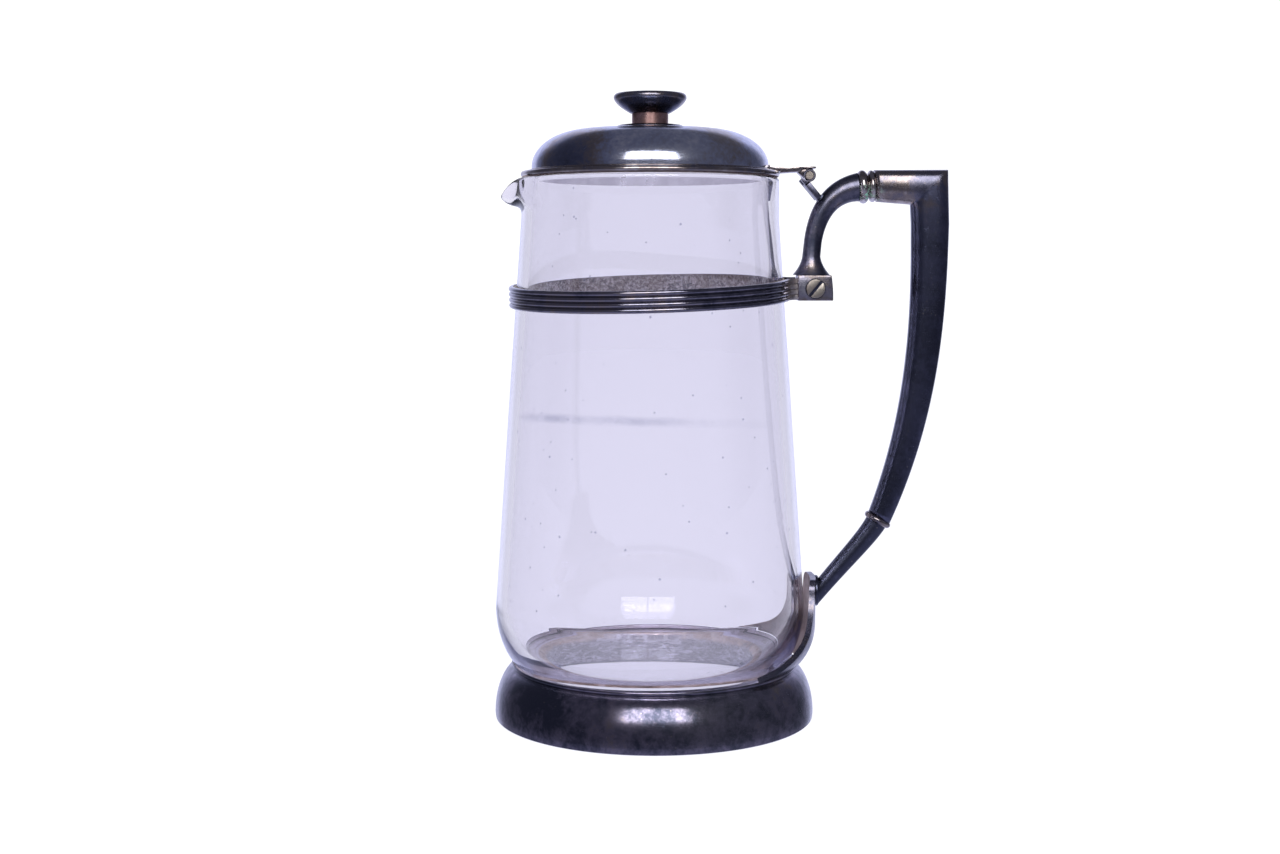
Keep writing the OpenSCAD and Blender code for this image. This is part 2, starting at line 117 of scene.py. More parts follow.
# Collar
COLLAR_Z = 170.8
COLLAR_H = 8.6
COLLAR_IN = 54.4
COLLAR_R = 56.2
COLLAR_SKEW = 2.6
COLLAR_RISE = 1.6
COLLAR_STEPS = 200
REEDS = 4
WORN_STEPS = 22
WEAR = 0.4
LUG_IN = 1.7
LUG_OUT = 6.3

# Handle
ARM_X = 64.2
ARM_PATH = ((ARM_X, 179), (63.7, 196), (67.9, 210.3), (82.4, 212.4))
FLARE_LOW = 177.75
FLARE_H = 7.25
BEAD_AT = ARM_PATH[3]
BEAD_TILT = 4
BEAD_LEN = 6.9
MITRE_IN = (103.2, 205.5)
MITRE_OUT = (118, 219.3)
GRIP_X = 103.7
GRIP_TOP = 15
GRIP_END = 11.2
GRIP_DEPTH = 6.3
GRIP_START_Z = 198
GRIP_BEND_Z = 195
GRIP_END_Z = 80.5
GRIP_SWEEP = 18
GRIP_DROP = 112.9
GRIP_POWER = 2.5
TAIL_BEAD_T = 2.6
TAIL_TILT = 30

# Hinge
KNUCKLE_R = 2.5
KNUCKLE_HALF = 3
BARREL_HALF = 6
LEAF_TURN = 50
LEAF_T = 2.2
PIN_R = 1.25

# Lid
LID_R = FLANGE_HI[1]
FLANGE_Z = 216.1
FLANGE_T = FLANGE_HI[2] - FLANGE_Z
DOME_R = DOME_HI[1]
DOME_A = 21.9
DOME_Z = 220.2
CROWN_Z = DOME_HI[2]
CROWN_DROP = 0.7
DOME_B = CROWN_Z - CROWN_DROP - DOME_Z
CROWN_X = DOME_R - DOME_A
LID_WALL = 1.2
BEAD_IN = 44.6


# ------------------------ outlines
def arc(cx, cz, a, b, deg0, deg1, n=10):
    """Points on an ellipse's arc, both ends included."""
    out = []
    for i in range(n + 1):
        t = math.radians(deg0 + (deg1 - deg0) * i / n)
        out.append((cx + a * math.cos(t), cz + b * math.sin(t)))
    return out


def between(a, b, n):
    """Points on a straight line, both ends included."""
    return [(a[0] + (b[0] - a[0]) * i / n, a[1] + (b[1] - a[1]) * i / n) for i in range(n + 1)]


def bezier(p, t):
    """A point on the cubic curve through four control points."""
    s = 1 - t
    w = (s ** 3, 3 * s * s * t, 3 * s * t * t, t ** 3)
    return tuple(sum(w[k] * p[k][c] for k in range(4)) for c in range(len(p[0])))


# ------------------------ mesh helpers
def put(name, data):
    """Puts an object into the scene."""
    obj = bpy.data.objects.new(name, data)
    bpy.context.scene.collection.objects.link(obj)
    return obj


def piece(name, verts, faces, body, nodes, slot, material, sharp=38):
    """Makes one piece of the object from points in millimetres and hands it to its body."""
    mesh = bpy.data.meshes.new(name)
    mesh.from_pydata([Vector(v) * MM for v in verts], [], faces)
    mesh.validate()
    work = bmesh.new()
    work.from_mesh(mesh)
    bmesh.ops.remove_doubles(work, verts=work.verts, dist=1e-7)
    bmesh.ops.recalc_face_normals(work, faces=work.faces)
    work.to_mesh(mesh)
    work.free()
    mesh.polygons.foreach_set("use_smooth", [True] * len(mesh.polygons))
    mesh.set_sharp_from_angle(angle=math.radians(sharp))
    obj = put(name, mesh)
    mesh.materials.append(material)
    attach(obj, body)
    if nodes:
        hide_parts(*nodes)
    return obj


def lathe_data(outline, cx=0, segs=SEGS, warp=None):
    """A closed outline of (radius, height) points turned about an upright axis at x = cx."""
    verts, faces = [], []
    n = len(outline)
    for j in range(segs):
        t = 2 * math.pi * j / segs
        for r, z in outline:
            p = (r * math.cos(t), r * math.sin(t), z)
            if warp:
                p = warp(p)
            verts.append((p[0] + cx, p[1], p[2]))
    for j in range(segs):
        k = (j + 1) % segs
        for i in range(n):
            m = (i + 1) % n
            faces.append((j * n + i, k * n + i, k * n + m, j * n + m))
    return verts, faces


def loft_data(rings):
    """A closed skin over rings with the same number of points."""
    n = len(rings[0])
    verts = [p for ring in rings for p in ring]
    faces = []
    for i in range(len(rings) - 1):
        for j in range(n):
            k = (j + 1) % n
            faces.append((i * n + j, i * n + k, (i + 1) * n + k, (i + 1) * n + j))
    faces.append(tuple(range(n - 1, -1, -1)))
    last = (len(rings) - 1) * n
    faces.append(tuple(range(last, last + n)))
    return verts, faces


def plate_data(outline, y0, y1, bevel=0.3, steps=2):
    """A flat plate drawn in the handle's plane, with softened edges."""
    work = bmesh.new()
    front = [work.verts.new((x, y0, z)) for x, z in outline]
    back = [work.verts.new((x, y1, z)) for x, z in outline]
    n = len(outline)
    work.faces.new(front)
    work.faces.new(list(reversed(back)))
    for i in range(n):
        k = (i + 1) % n
        work.faces.new((front[i], back[i], back[k], front[k]))
    bmesh.ops.recalc_face_normals(work, faces=work.faces)
    edges = [e for e in work.edges if e.calc_face_angle(0) > 0.5]
    if bevel:
        bmesh.ops.bevel(work, geom=edges, offset=bevel, segments=steps, profile=0.5, affect="EDGES")
    bmesh.ops.triangulate(work, faces=[f for f in work.faces if len(f.verts) > 4])
    return take(work)


def take(work):
    """The points and faces of a bmesh, which is then freed."""
    work.verts.index_update()
    data = ([tuple(v.co) for v in work.verts], [tuple(v.index for v in f.verts) for f in work.faces])
    work.free()
    return data


def rod_data(x, z, r, y0, y1, segs=64, edge=0.25):
    """A rod across the jug, with rounded ends."""
    middle = 0.001
    outline = [(middle, y0), (r - edge, y0), (r, y0 + edge)]
    outline += [(r, y1 - edge), (r - edge, y1), (middle, y1)]
    verts, faces = lathe_data(outline, segs=segs)
    return [(x + a, c, z + b) for a, b, c in verts], faces


def join(*parts):
    """Several sets of points and faces as one."""
    verts, faces = [], []
    for v, f in parts:
        base = len(verts)
        verts += v
        faces += [tuple(i + base for i in face) for face in f]
    return verts, faces


def repaint(obj, material, chosen):
    """A further material on the faces that a test picks by their centre, in millimetres, and normal."""
    obj.data.materials.append(material)
    index = len(obj.data.materials) - 1
    for face in obj.data.polygons:
        if chosen(face.center / MM, face.normal):
            face.material_index = index


def off_axis(c):
    """The distance of a point from the jug's axis."""
    return math.hypot(c.x, c.y)


def faces_axis(c, normal, least):
    """Whether more than a share of a face's normal points at the jug's axis."""
    return normal.x * c.x + normal.y * c.y < -least * off_axis(c)


def cut_by(data, point, normal):
    """Cuts away what lies on the normal's side of a plane, and closes the cut."""
    work = bmesh.new()
    made = [work.verts.new(v) for v in data[0]]
    for face in data[1]:
        work.faces.new([made[i] for i in face])
    geom = work.verts[:] + work.edges[:] + work.faces[:]
    done = bmesh.ops.bisect_plane(work, geom=geom, plane_co=point, plane_no=normal, clear_outer=True)
    rim = [e for e in done["geom_cut"] if isinstance(e, bmesh.types.BMEdge)]
    bmesh.ops.contextual_create(work, geom=rim)
    return take(work)


# ------------------------ node helpers
class Paint:
    """Builds one node material; each call returns a socket."""

    def __init__(self, name):
        self.mat = bpy.data.materials.new(name)
        self.mat.use_nodes = True
        self.tree = self.mat.node_tree
        self.shader = self.tree.nodes["Principled BSDF"]
        self.coord = self.add("ShaderNodeTexCoord").outputs["Object"]

    def add(self, kind, **settings):
        node = self.tree.nodes.new(kind)
        for key, value in settings.items():
            setattr(node, key, value)
        return node

    def feed(self, node, name, value):
        """Links a socket, or sets a plain value."""
        socket = node.inputs[name]
        if isinstance(value, bpy.types.NodeSocket):
            self.tree.links.new(value, socket)
        else:
            socket.default_value = value

    def set(self, **values):
        for key, value in values.items():
            self.feed(self.shader, key.replace("_", " "), value)

    def noise(self, scale, detail=4, rough=0.55, stretch=None, warp=0.0):
        node = self.add("ShaderNodeTexNoise")
        source = self.coord
        if stretch:
            mapping = self.add("ShaderNodeMapping")
            self.feed(mapping, "Vector", source)
            mapping.inputs["Scale"].default_value = stretch
            source = mapping.outputs["Vector"]
        self.feed(node, "Vector", source)
        node.inputs["Scale"].default_value = scale
        node.inputs["Detail"].default_value = detail
        node.inputs["Roughness"].default_value = rough
        node.inputs["Distortion"].default_value = warp
        return node.outputs["Fac"]

    def dots(self, scale, low, high):
        """1 in small scattered spots, 0 elsewhere."""
        node = self.add("ShaderNodeTexVoronoi")
        self.feed(node, "Vector", self.coord)
        node.inputs["Scale"].default_value = scale
        return self.span(node.outputs["Distance"], low, high, 1.0, 0.0)

    def span(self, value, low, high, to_low=0.0, to_high=1.0):
        node = self.add("ShaderNodeMapRange", interpolation_type="SMOOTHSTEP")
        self.feed(node, "Value", value)
        for name, v in (("From Min", low), ("From Max", high), ("To Min", to_low), ("To Max", to_high)):
            node.inputs[name].default_value = v
        return node.outputs["Result"]

    def math(self, op, a, b=0.0, clamp=False):
        node = self.add("ShaderNodeMath", operation=op, use_clamp=clamp)
        self.feed(node, 0, a)
        self.feed(node, 1, b)
        return node.outputs["Value"]

    def near(self, centre, inner, outer):
        """1 close to a point, fading to 0."""
        node = self.add("ShaderNodeVectorMath", operation="DISTANCE")
        self.feed(node, 0, self.coord)
        node.inputs[1].default_value = [c * MM for c in centre]
        return self.span(node.outputs["Value"], inner * MM, outer * MM, 1.0, 0.0)

    def axis(self, letter):
        node = self.add("ShaderNodeSeparateXYZ")
        self.feed(node, "Vector", self.coord)
        return node.outputs[letter]

    def ramp(self, value, *stops):
        node = self.add("ShaderNodeValToRGB")
        self.feed(node, "Fac", value)
        items = node.color_ramp.elements
        while len(items) < len(stops):
            items.new(0.5)
        for item, (place, colour) in zip(items, stops):
            item.position = place
            item.color = (*colour, 1)
        return node.outputs["Color"]

    def mix(self, fac, a, b):
        node = self.add("ShaderNodeMix", data_type="RGBA")
        self.feed(node, 0, fac)
        for index, value in ((6, a), (7, b)):
            if isinstance(value, tuple):
                value = (*value, 1)
            self.feed(node, index, value)
        return node.outputs[2]

    def bump(self, height, strength, distance, under=None):
        node = self.add("ShaderNodeBump")
        self.feed(node, "Height", height)
        node.inputs["Strength"].default_value = strength
        node.inputs["Distance"].default_value = distance * MM
        if under:
            self.feed(node, "Normal", under)
        return node.outputs["Normal"]


# The colours of silver as the tarnish thickens
CLEAN = (0.72, 0.70, 0.73)
GREY = (0.42, 0.39, 0.40)
BROWN = (0.235, 0.195, 0.185)
VIOLET = (0.135, 0.13, 0.172)
BLACK = (0.060, 0.064, 0.096)


def tarnished(name, level, swing=0.35, rough=(0.12, 0.34), patches=(), scratch=0.25, tint=VIOLET, wave=0.05,
              mottle=0.08, dull=(), haze=None, grey=GREY, verdigris=None):
    """Silver plate that goes from clean through grey and brown to blue-black as the tarnish gets thicker.

    A patch or a dull spot is a point in millimetres, an inner and an outer distance, and what it adds.
    """
    p = Paint(name)
    large = p.noise(38, 5, 0.6, warp=0.6)
    blotch = p.noise(150, 5, 0.7, warp=0.3)
    fine = p.noise(520, 6, 0.7)
    amount = p.math("ADD", p.span(large, 0.3, 0.7, level - swing, level + swing),
                    p.span(blotch, 0.35, 0.65, -mottle, mottle))
    amount = p.math("ADD", amount, p.span(fine, 0.3, 0.7, -0.07, 0.07))
    for centre, inner, outer, add in patches:
        amount = p.math("ADD", amount, p.math("MULTIPLY", p.near(centre, inner, outer), add))
    amount = p.math("MAXIMUM", p.math("MINIMUM", amount, 1.0), 0.0)
    colour = p.ramp(amount, (0.0, CLEAN), (0.3, grey), (0.5, BROWN), (0.7, tint), (0.97, BLACK))
    hair = p.noise(260, 3, 0.7, stretch=(1, 1, 14))
    hair_2 = p.noise(300, 3, 0.7, stretch=(12, 12, 1.5))
    specks = p.dots(330, 0.05, 0.12)
    colour = p.mix(p.math("MULTIPLY", specks, 0.6), colour, (0.3, 0.27, 0.25))
    base = p.span(amount, 0.1, 0.9, rough[0], rough[1])
    grain = p.math("ADD", p.span(hair, 0.45, 0.75, 0, 0.05), p.span(hair_2, 0.5, 0.75, 0, 0.05))
    base = p.math("ADD", p.math("ADD", base, grain), p.span(blotch, 0.5, 0.7, 0, 0.06))
    for centre, inner, outer, add in dull:
        base = p.math("ADD", base, p.math("MULTIPLY", p.near(centre, inner, outer), add))
    metal = 1.0
    if verdigris:
        centre, inner, outer = verdigris
        crust = p.math("MULTIPLY", p.near(centre, inner, outer), p.span(fine, 0.5, 0.56))
        colour = p.mix(crust, colour, (0.13, 0.27, 0.23))
        metal = p.math("SUBTRACT", 1.0, crust)
    p.set(Base_Color=colour, Metallic=metal, Roughness=base)
    if haze:
        centre, inner, outer, weight = haze
        cover = p.math("MULTIPLY", p.near(centre, inner, outer), weight)
        p.set(Coat_Weight=cover, Coat_Roughness=0.4, Coat_IOR=1.9)
    waves = p.bump(p.noise(26, 2, 0.5), wave, 1.2)
    lines = p.bump(p.math("ADD", hair, hair_2), scratch, 0.01, waves)
    p.set(Normal=p.bump(p.math("SUBTRACT", fine, specks), 0.15, 0.02, lines))
    return p.mat


def bare_metal(name, high, low, rough=0.3, scale=220):
    """Bare copper or brass with a patchy brown skin."""
    p = Paint(name)
    skin = p.noise(scale, 5, 0.65, warp=0.4)
    colour = p.ramp(skin, (0.3, low), (0.62, high))
    p.set(Base_Color=colour, Metallic=1.0, Roughness=p.span(skin, 0.3, 0.7, rough + 0.15, rough - 0.08))
    lines = p.bump(p.noise(500, 3, 0.6, stretch=(1, 1, 10)), 0.25, 0.03)
    p.set(Normal=p.bump(p.noise(900, 4, 0.6), 0.15, 0.02, lines))
    return p.mat


def satin_silver():
    """The lid's underside: bright, unpolished silver, faintly clouded."""
    p = Paint("lid_inside_silver")
    cloud = p.noise(70, 4, 0.6)
    p.set(Base_Color=p.mix(p.span(cloud, 0.35, 0.65), (0.95, 0.94, 0.98), (0.74, 0.72, 0.78)))
    p.set(Metallic=0.65, Roughness=p.span(cloud, 0.3, 0.7, 0.26, 0.4))
    p.set(Normal=p.bump(p.noise(600, 4, 0.6), 0.1, 0.02))
    return p.mat


def gilt_material():
    """The seat ring: a gold-brown rolled edge over a scratched grey wall."""
    p = Paint("seat_gilt")
    skin = p.noise(110, 6, 0.7, warp=0.5)
    scratches = p.noise(380, 5, 0.8, stretch=(0.5, 0.5, 1.4), warp=1.2)
    gold = p.ramp(skin, (0.34, (0.15, 0.10, 0.07)), (0.5, (0.5, 0.34, 0.22)), (0.64, (0.95, 0.8, 0.68)))
    grey = p.ramp(scratches, (0.40, (0.05, 0.05, 0.06)), (0.5, (0.3, 0.28, 0.32)),
                  (0.60, (0.95, 0.92, 0.98)))
    x, y = p.axis("X"), p.axis("Y")
    radius = p.math("SQRT", p.math("ADD", p.math("MULTIPLY", x, x), p.math("MULTIPLY", y, y)))
    edge = p.math("ADD", p.axis("Z"), p.math("MULTIPLY", p.math("SUBTRACT", skin, 0.5), 0.006))
    rolled = p.mix(p.span(edge, 0.0145, 0.0165), grey, gold)
    p.set(Base_Color=p.mix(p.span(radius, 0.0475, 0.0495), rolled, (0.80, 0.77, 0.83)))
    p.set(Metallic=1.0, Roughness=p.span(skin, 0.3, 0.7, 0.5, 0.28))
    p.set(Normal=p.bump(scratches, 0.5, 0.06))
    return p.mat


# The stain's height, in metres
STAIN_Z = 0.1243


def glass_material():
    """Old clear glass, lilac in its depth, with a stain left by drink on the front wall and a few specks."""
    p = Paint("jug_glass")
    x = p.axis("X")
    bowl = p.math("MULTIPLY", p.math("POWER", p.math("ADD", x, 0.015), 2.0), 0.98)
    wobble = p.math("MULTIPLY", p.math("SUBTRACT", p.noise(70, 3, 0.5), 0.5), 0.0016)
    level = p.math("ADD", p.math("ADD", p.axis("Z"), bowl), wobble)
    line = p.math("MULTIPLY", p.span(level, STAIN_Z - 0.0025, STAIN_Z - 0.0001),
                  p.span(level, STAIN_Z, STAIN_Z + 0.0025, 1.0, 0.0))
    broken = p.span(p.noise(90, 4, 0.65), 0.34, 0.62, 0.3, 1.0)
    side = p.span(p.math("ABSOLUTE", p.math("ADD", x, 0.024)), 0.004, 0.06, 1.0, 0.12)
    front = p.span(p.axis("Y"), -0.03, -0.02, 1.0, 0.0)
    stain = p.math("MULTIPLY", p.math("MULTIPLY", line, broken), p.math("MULTIPLY", side, front))
    specks = p.dots(95, 0.035, 0.06)
    dirt = p.math("MAXIMUM", p.math("MULTIPLY", stain, 0.42), p.math("MULTIPLY", specks, 0.7))
    p.set(Base_Color=p.mix(dirt, (0.915, 0.903, 0.962), (0.20, 0.22, 0.38)))
    lip = p.math("MULTIPLY", p.span(x, -0.0535, -0.0505, 0.3, 0.0), p.span(p.axis("Z"), 0.198, 0.203))
    p.set(Transmission_Weight=1.0, IOR=p.math("SUBTRACT", 1.5, lip), Roughness=p.math("MULTIPLY", dirt, 0.2))
    p.set(Normal=p.bump(p.noise(14, 2, 0.4, stretch=(1, 1, 0.35)), 0.12, 1.0))
    depth = p.add("ShaderNodeVolumeAbsorption")
    depth.inputs["Color"].default_value = (0.0, 0.0, 0.28, 1)
    depth.inputs["Density"].default_value = 19
    p.tree.links.new(depth.outputs["Volume"], p.tree.nodes["Material Output"].inputs["Volume"])
    return p.mat


def packing_material():
    """Dull packing between the glass and the collar."""
    p = Paint("collar_packing")
    grain = p.noise(700, 6, 0.75)
    cloud = p.noise(60, 3, 0.5)
    colour = p.mix(p.span(grain, 0.42, 0.62), (0.06, 0.05, 0.05), (0.46, 0.42, 0.43))
    p.set(Base_Color=p.mix(p.span(cloud, 0.4, 0.7, 0, 0.4), colour, (0.22, 0.15, 0.11)))
    p.set(Metallic=0.3, Roughness=p.span(cloud, 0.3, 0.7, 0.55, 0.7), Normal=p.bump(grain, 0.6, 0.1))
    return p.mat


MATS = {
    # The lid's second patch darkens the dome's left side to navy: a painted dark reflection.
    "lid": tarnished("lid_silver", 0.27, 0.08, (0.13, 0.2), mottle=0.06, haze=((20, -44, 222), 4, 44, 0.5),
                     grey=(0.33, 0.36, 0.50), tint=(0.12, 0.13, 0.2),
                     patches=(((26, -28, 230), 3, 18, 0.24), ((-34, -34, 222), 4, 24, 0.5))),
    "lid_inside": satin_silver(),
    "rim": tarnished("rim_silver", 0.48, 0.15, (0.1, 0.22)),
    "foot": tarnished("foot_silver", 0.82, 0.10, (0.11, 0.18), scratch=0.45, wave=0.02, mottle=0.12,
                      tint=(0.20, 0.18, 0.24), haze=((36, -52, 10), 6, 40, 0.3),
                      patches=(((52, -38, 20), 2, 16, -0.2), ((-44, -40, 18), 2, 24, 0.2))),
    "collar": tarnished("collar_silver", 0.74, 0.1, (0.07, 0.13), mottle=0.08, tint=(0.19, 0.18, 0.225),
                        patches=(((57, -7, 171), 3, 15, -0.45),), dull=(((57, -7, 171), 3, 15, 0.35),)),
    "lug": tarnished("lug_silver", 0.38, 0.14, (0.16, 0.3), scratch=0.5, mottle=0.14,
                     grey=(0.36, 0.34, 0.42), patches=(((60, -6, 173), 1, 6, -0.3),)),
    "arm": tarnished("arm_silver", 0.84, 0.12, (0.18, 0.3), mottle=0.12,
                     patches=(((64, -6, 181), 1, 6, -0.4),)),
    "bar": tarnished("bar_silver", 0.56, 0.12, (0.15, 0.26), mottle=0.1, verdigris=((87, -6, 208.5), 1, 7),
                     patches=(((112, -6, 212), 4, 12, 0.3),)),
    "grip": tarnished("grip_silver", 0.86, 0.1, (0.09, 0.2), scratch=0.2, mottle=0.1,
                      tint=(0.115, 0.12, 0.185), patches=(((112, -6, 212), 2, 22, -0.16),)),
    "bead": tarnished("bead_silver", 0.42, 0.25, (0.1, 0.2), verdigris=((84, -6, 208.5), 2, 7)),
    "tail": tarnished("tail_silver", 0.98, 0.08, (0.14, 0.28), scratch=0.4, mottle=0.12,
                      tint=(0.115, 0.12, 0.175)),
    "cradle": tarnished("cradle_silver", 0.78, 0.16, (0.14, 0.28), mottle=0.12),
    "knob": tarnished("knob_silver", 0.66, 0.1, (0.16, 0.26), tint=(0.13, 0.135, 0.19)),
    "copper": bare_metal("stem_copper", (0.45, 0.28, 0.26), (0.16, 0.09, 0.08)),
    "brass": bare_metal("screw_brass", (0.42, 0.38, 0.33), (0.16, 0.13, 0.12)),
    "gilt": gilt_material(),
    "inner": bare_metal("cradle_inner", (0.30, 0.22, 0.20), (0.13, 0.09, 0.09), 0.45, 80),
    "glass": glass_material(),
    "packing": packing_material(),
    "ledge": bare_metal("ledge_silver", (0.80, 0.76, 0.80), (0.46, 0.40, 0.41), 0.35, 120),
}


# ------------------------ foot
def foot():
    flank_a = FOOT_R - FOOT_CURVE_X
    top = math.degrees(math.asin((FOOT_H - FOOT_LOW) / FOOT_CURVE_H))
    groove = 0.4
    outline = [(FOOT_R - 0.2 - FOOT_WALL, 0), (FOOT_R - 0.5, 0), (FOOT_R - 0.2, 0.3)]
    outline += arc(FOOT_CURVE_X, FOOT_LOW, flank_a, FOOT_CURVE_H, 0, top, 28)
    outline += [(FOOT_LIP_OUT, FOOT_H + 0.05), (FOOT_LIP_OUT - groove, FOOT_H + groove)]
    outline += arc(FOOT_LIP_OUT - 0.45, FOOT_LIP_Z - 0.7, 0.45, 0.7, -40, 140, 8)
    outline += [(FOOT_LIP_IN, FOOT_LIP_Z - 0.4), (FOOT_LIP_IN, FOOT_H)]
    outline += arc(FOOT_CURVE_X, FOOT_LOW, flank_a - FOOT_WALL, FOOT_CURVE_H - FOOT_WALL, 66, 0, 12)
    ledge = [(FOOT_LIP_IN + 0.2, SEAT_Z + 0.2), (FOOT_LIP_IN + 0.2, SEAT_Z + 1)]
    ledge += [(FOOT_LIP_IN - LEDGE_W + 0.2, SEAT_Z + 0.8), (FOOT_LIP_IN - LEDGE_W, SEAT_Z + 0.2)]
    data = join(lathe_data(outline, cx=FOOT_X), lathe_data(ledge, cx=FOOT_X))
    obj = piece("foot_ring", *data, "jug", ["foot_shell"], "dark_silver", MATS["foot"])

    def on_ledge(c, _):
        return math.hypot(c.x - FOOT_X, c.y) < FOOT_LIP_IN + 0.1 and c.z > SEAT_Z
    repaint(obj, MATS["ledge"], on_ledge)


def seat_ring():
    wall = 1.5
    corner = 4
    outline = [(WELL_R, 1.5)]
    outline += arc(WELL_R + corner, SEAT_Z - corner, corner, corner, 180, 90, 14)
    outline += [(SEAT_HI[1], SEAT_Z), (SEAT_HI[1], SEAT_Z - wall)]
    outline += arc(WELL_R + corner, SEAT_Z - corner, corner - wall, corner - wall, 90, 180, 12)
    outline += [(WELL_R + wall, 1.5)]
    data = lathe_data(outline)
    piece("seat_ring", *data, "jug", ["foot_seat_ring"], "gilt_ring", MATS["gilt"])


# ------------------------ glass
def pull_lip(p):
    """Turns the wall opposite the handle out and down into a pouring lip."""
    x, y, z = p
    off = math.degrees(math.atan2(abs(y), -x))
    if z < LIP_LOW_Z or off > LIP_HALF:
        return p
    out_w = 0.5 + 0.5 * math.cos(math.pi * off / LIP_HALF)
    drop_w = out_w ** 2.1

    def path(s):
        out, height = bezier(LIP_PATH, s)
        straight = LIP_LOW_Z + (RIM_Z - LIP_LOW_Z) * s
        return Vector((NECK_R + out * out_w, straight + (height - straight) * drop_w))
    s = (z - LIP_LOW_Z) / (RIM_Z - LIP_LOW_Z)
    along = path(min(s + 0.02, 1)) - path(max(s - 0.02, 0))
    along.normalize()
    r = math.hypot(x, y)
    deep = (NECK_R - r) * (1 - 0.8 * s * out_w)
    at = path(s) + Vector((-along.y, along.x)) * deep
    return (x * at.x / r, y * at.x / r, at.y)


def glass():
    straight_end = RIM_Z - RIM_ROUND
    neck_in, heel_in = NECK_R - GLASS_WALL, HEEL_R - GLASS_WALL
    outline = [(0.02, SEAT_Z), (HEEL_FLAT - 1, SEAT_Z)]
    outline += arc(HEEL_FLAT, HEEL_Z, HEEL_R - HEEL_FLAT, HEEL_Z - SEAT_Z, -86, 0, 40)
    outline += between((HEEL_R, HEEL_Z), (NECK_R, NECK_Z), 24)[1:-1]
    outline += between((NECK_R, NECK_Z), (NECK_R, straight_end), 14)
    outline += arc(NECK_R - RIM_ROUND, straight_end, RIM_ROUND, RIM_ROUND, 15, 90, 5)
    outline += arc(neck_in + RIM_ROUND, straight_end, RIM_ROUND, RIM_ROUND, 90, 165, 5)
    outline += between((neck_in, straight_end), (neck_in, NECK_Z), 14)
    outline += between((neck_in, NECK_Z), (heel_in, BORE_BEND), 24)[1:-1]
    outline += arc(heel_in - BORE_HEEL, BORE_BEND, BORE_HEEL, BORE_BEND - FLOOR_Z, 0, -90, 40)
    outline += [(0.02, FLOOR_Z)]
    data = lathe_data(outline, warp=pull_lip, segs=288)
    obj = piece("glass_jug", *data, "jug", ["glass_body"], "glass", MATS["glass"], sharp=70)
    obj.visible_shadow = False


# ------------------------ collar
def collar_place():
    turn = Matrix.Rotation(math.radians(COLLAR_SKEW), 4, "X")
    rise = Matrix.Rotation(math.radians(-COLLAR_RISE), 4, "Y")
    return Matrix.Translation((0, 0, COLLAR_Z)) @ rise @ turn


def reed_outline(inside, outside):
    """Cross-section of the strip: flat inside, half-round reeds outside."""
    reed = COLLAR_H / REEDS
    out = [(inside, COLLAR_H / 2 - 0.1), (inside, -COLLAR_H / 2 + 0.1)]
    for k in range(REEDS):
        middle = -COLLAR_H / 2 + reed * (k + 0.5)
        out += arc(outside - reed * 0.45, middle, reed * 0.45, reed * 0.47, -82, 82, 12)
    return out


def collar():
    place = collar_place()
    outline = reed_outline(COLLAR_IN, COLLAR_R)
    end_out = LUG_OUT + 0.3
    end_in = LUG_OUT - 2.0
    start = math.degrees(math.asin((end_in + 3.2) / COLLAR_IN))
    far = LUG_LO[0] - 0.1
    rings = []
    for i in range(COLLAR_STEPS + 1):
        t = math.radians(start + (360 - 2 * start) * i / COLLAR_STEPS)
        from_end = min(i, COLLAR_STEPS - i)
        ring = []
        for r, z in outline:
            keep = r
            if from_end < WORN_STEPS and r > COLLAR_IN + 0.5:
                wear = (1 - from_end / WORN_STEPS) * WEAR
                keep = r - wear * (0.6 + 0.4 * math.sin(i * 2.1 + z * 2.6))
            ring.append((keep * math.cos(t), keep * math.sin(t), z))
        rings.append(ring)

    def tab(side):
        """The strip's end, which runs straight along the lug."""
        made = []
        for x in (far, far - 1.2):
            row = []
            for r, z in outline:
                share = (min(r, COLLAR_R - 0.4) - COLLAR_IN) / (COLLAR_R - COLLAR_IN)
                y = end_in + (end_out - end_in) * share
                row.append((x, side * y, z))
            made.append(row)
        return made
    whole = tab(1) + rings + list(reversed(tab(-1)))
    verts, faces = loft_data(whole)
    verts = [tuple(place @ Vector(v)) for v in verts]
    piece("collar_strip", verts, faces, "jug", ["collar_band"], "dark_silver", MATS["collar"], sharp=50)


def lugs():
    low, top = LUG_LO[2], LUG_HI[2]
    near, end = LUG_LO[0], LUG_HI[0]
    outline = [(near, low), (near, top)]
    for i in range(9):
        s = i / 8
        outline.append((end - 0.75 + 0.75 * s + 0.9 * s * (1 - s), top - s * (top - low)))
    for name, y0, y1 in (("lug_front", -LUG_OUT, -LUG_IN), ("lug_rear", LUG_IN, LUG_OUT)):
        data = plate_data(outline, y0, y1, 0.35, 3)
        piece("clamp_" + name, *data, "jug", ["collar_" + name], "dark_silver", MATS["lug"])


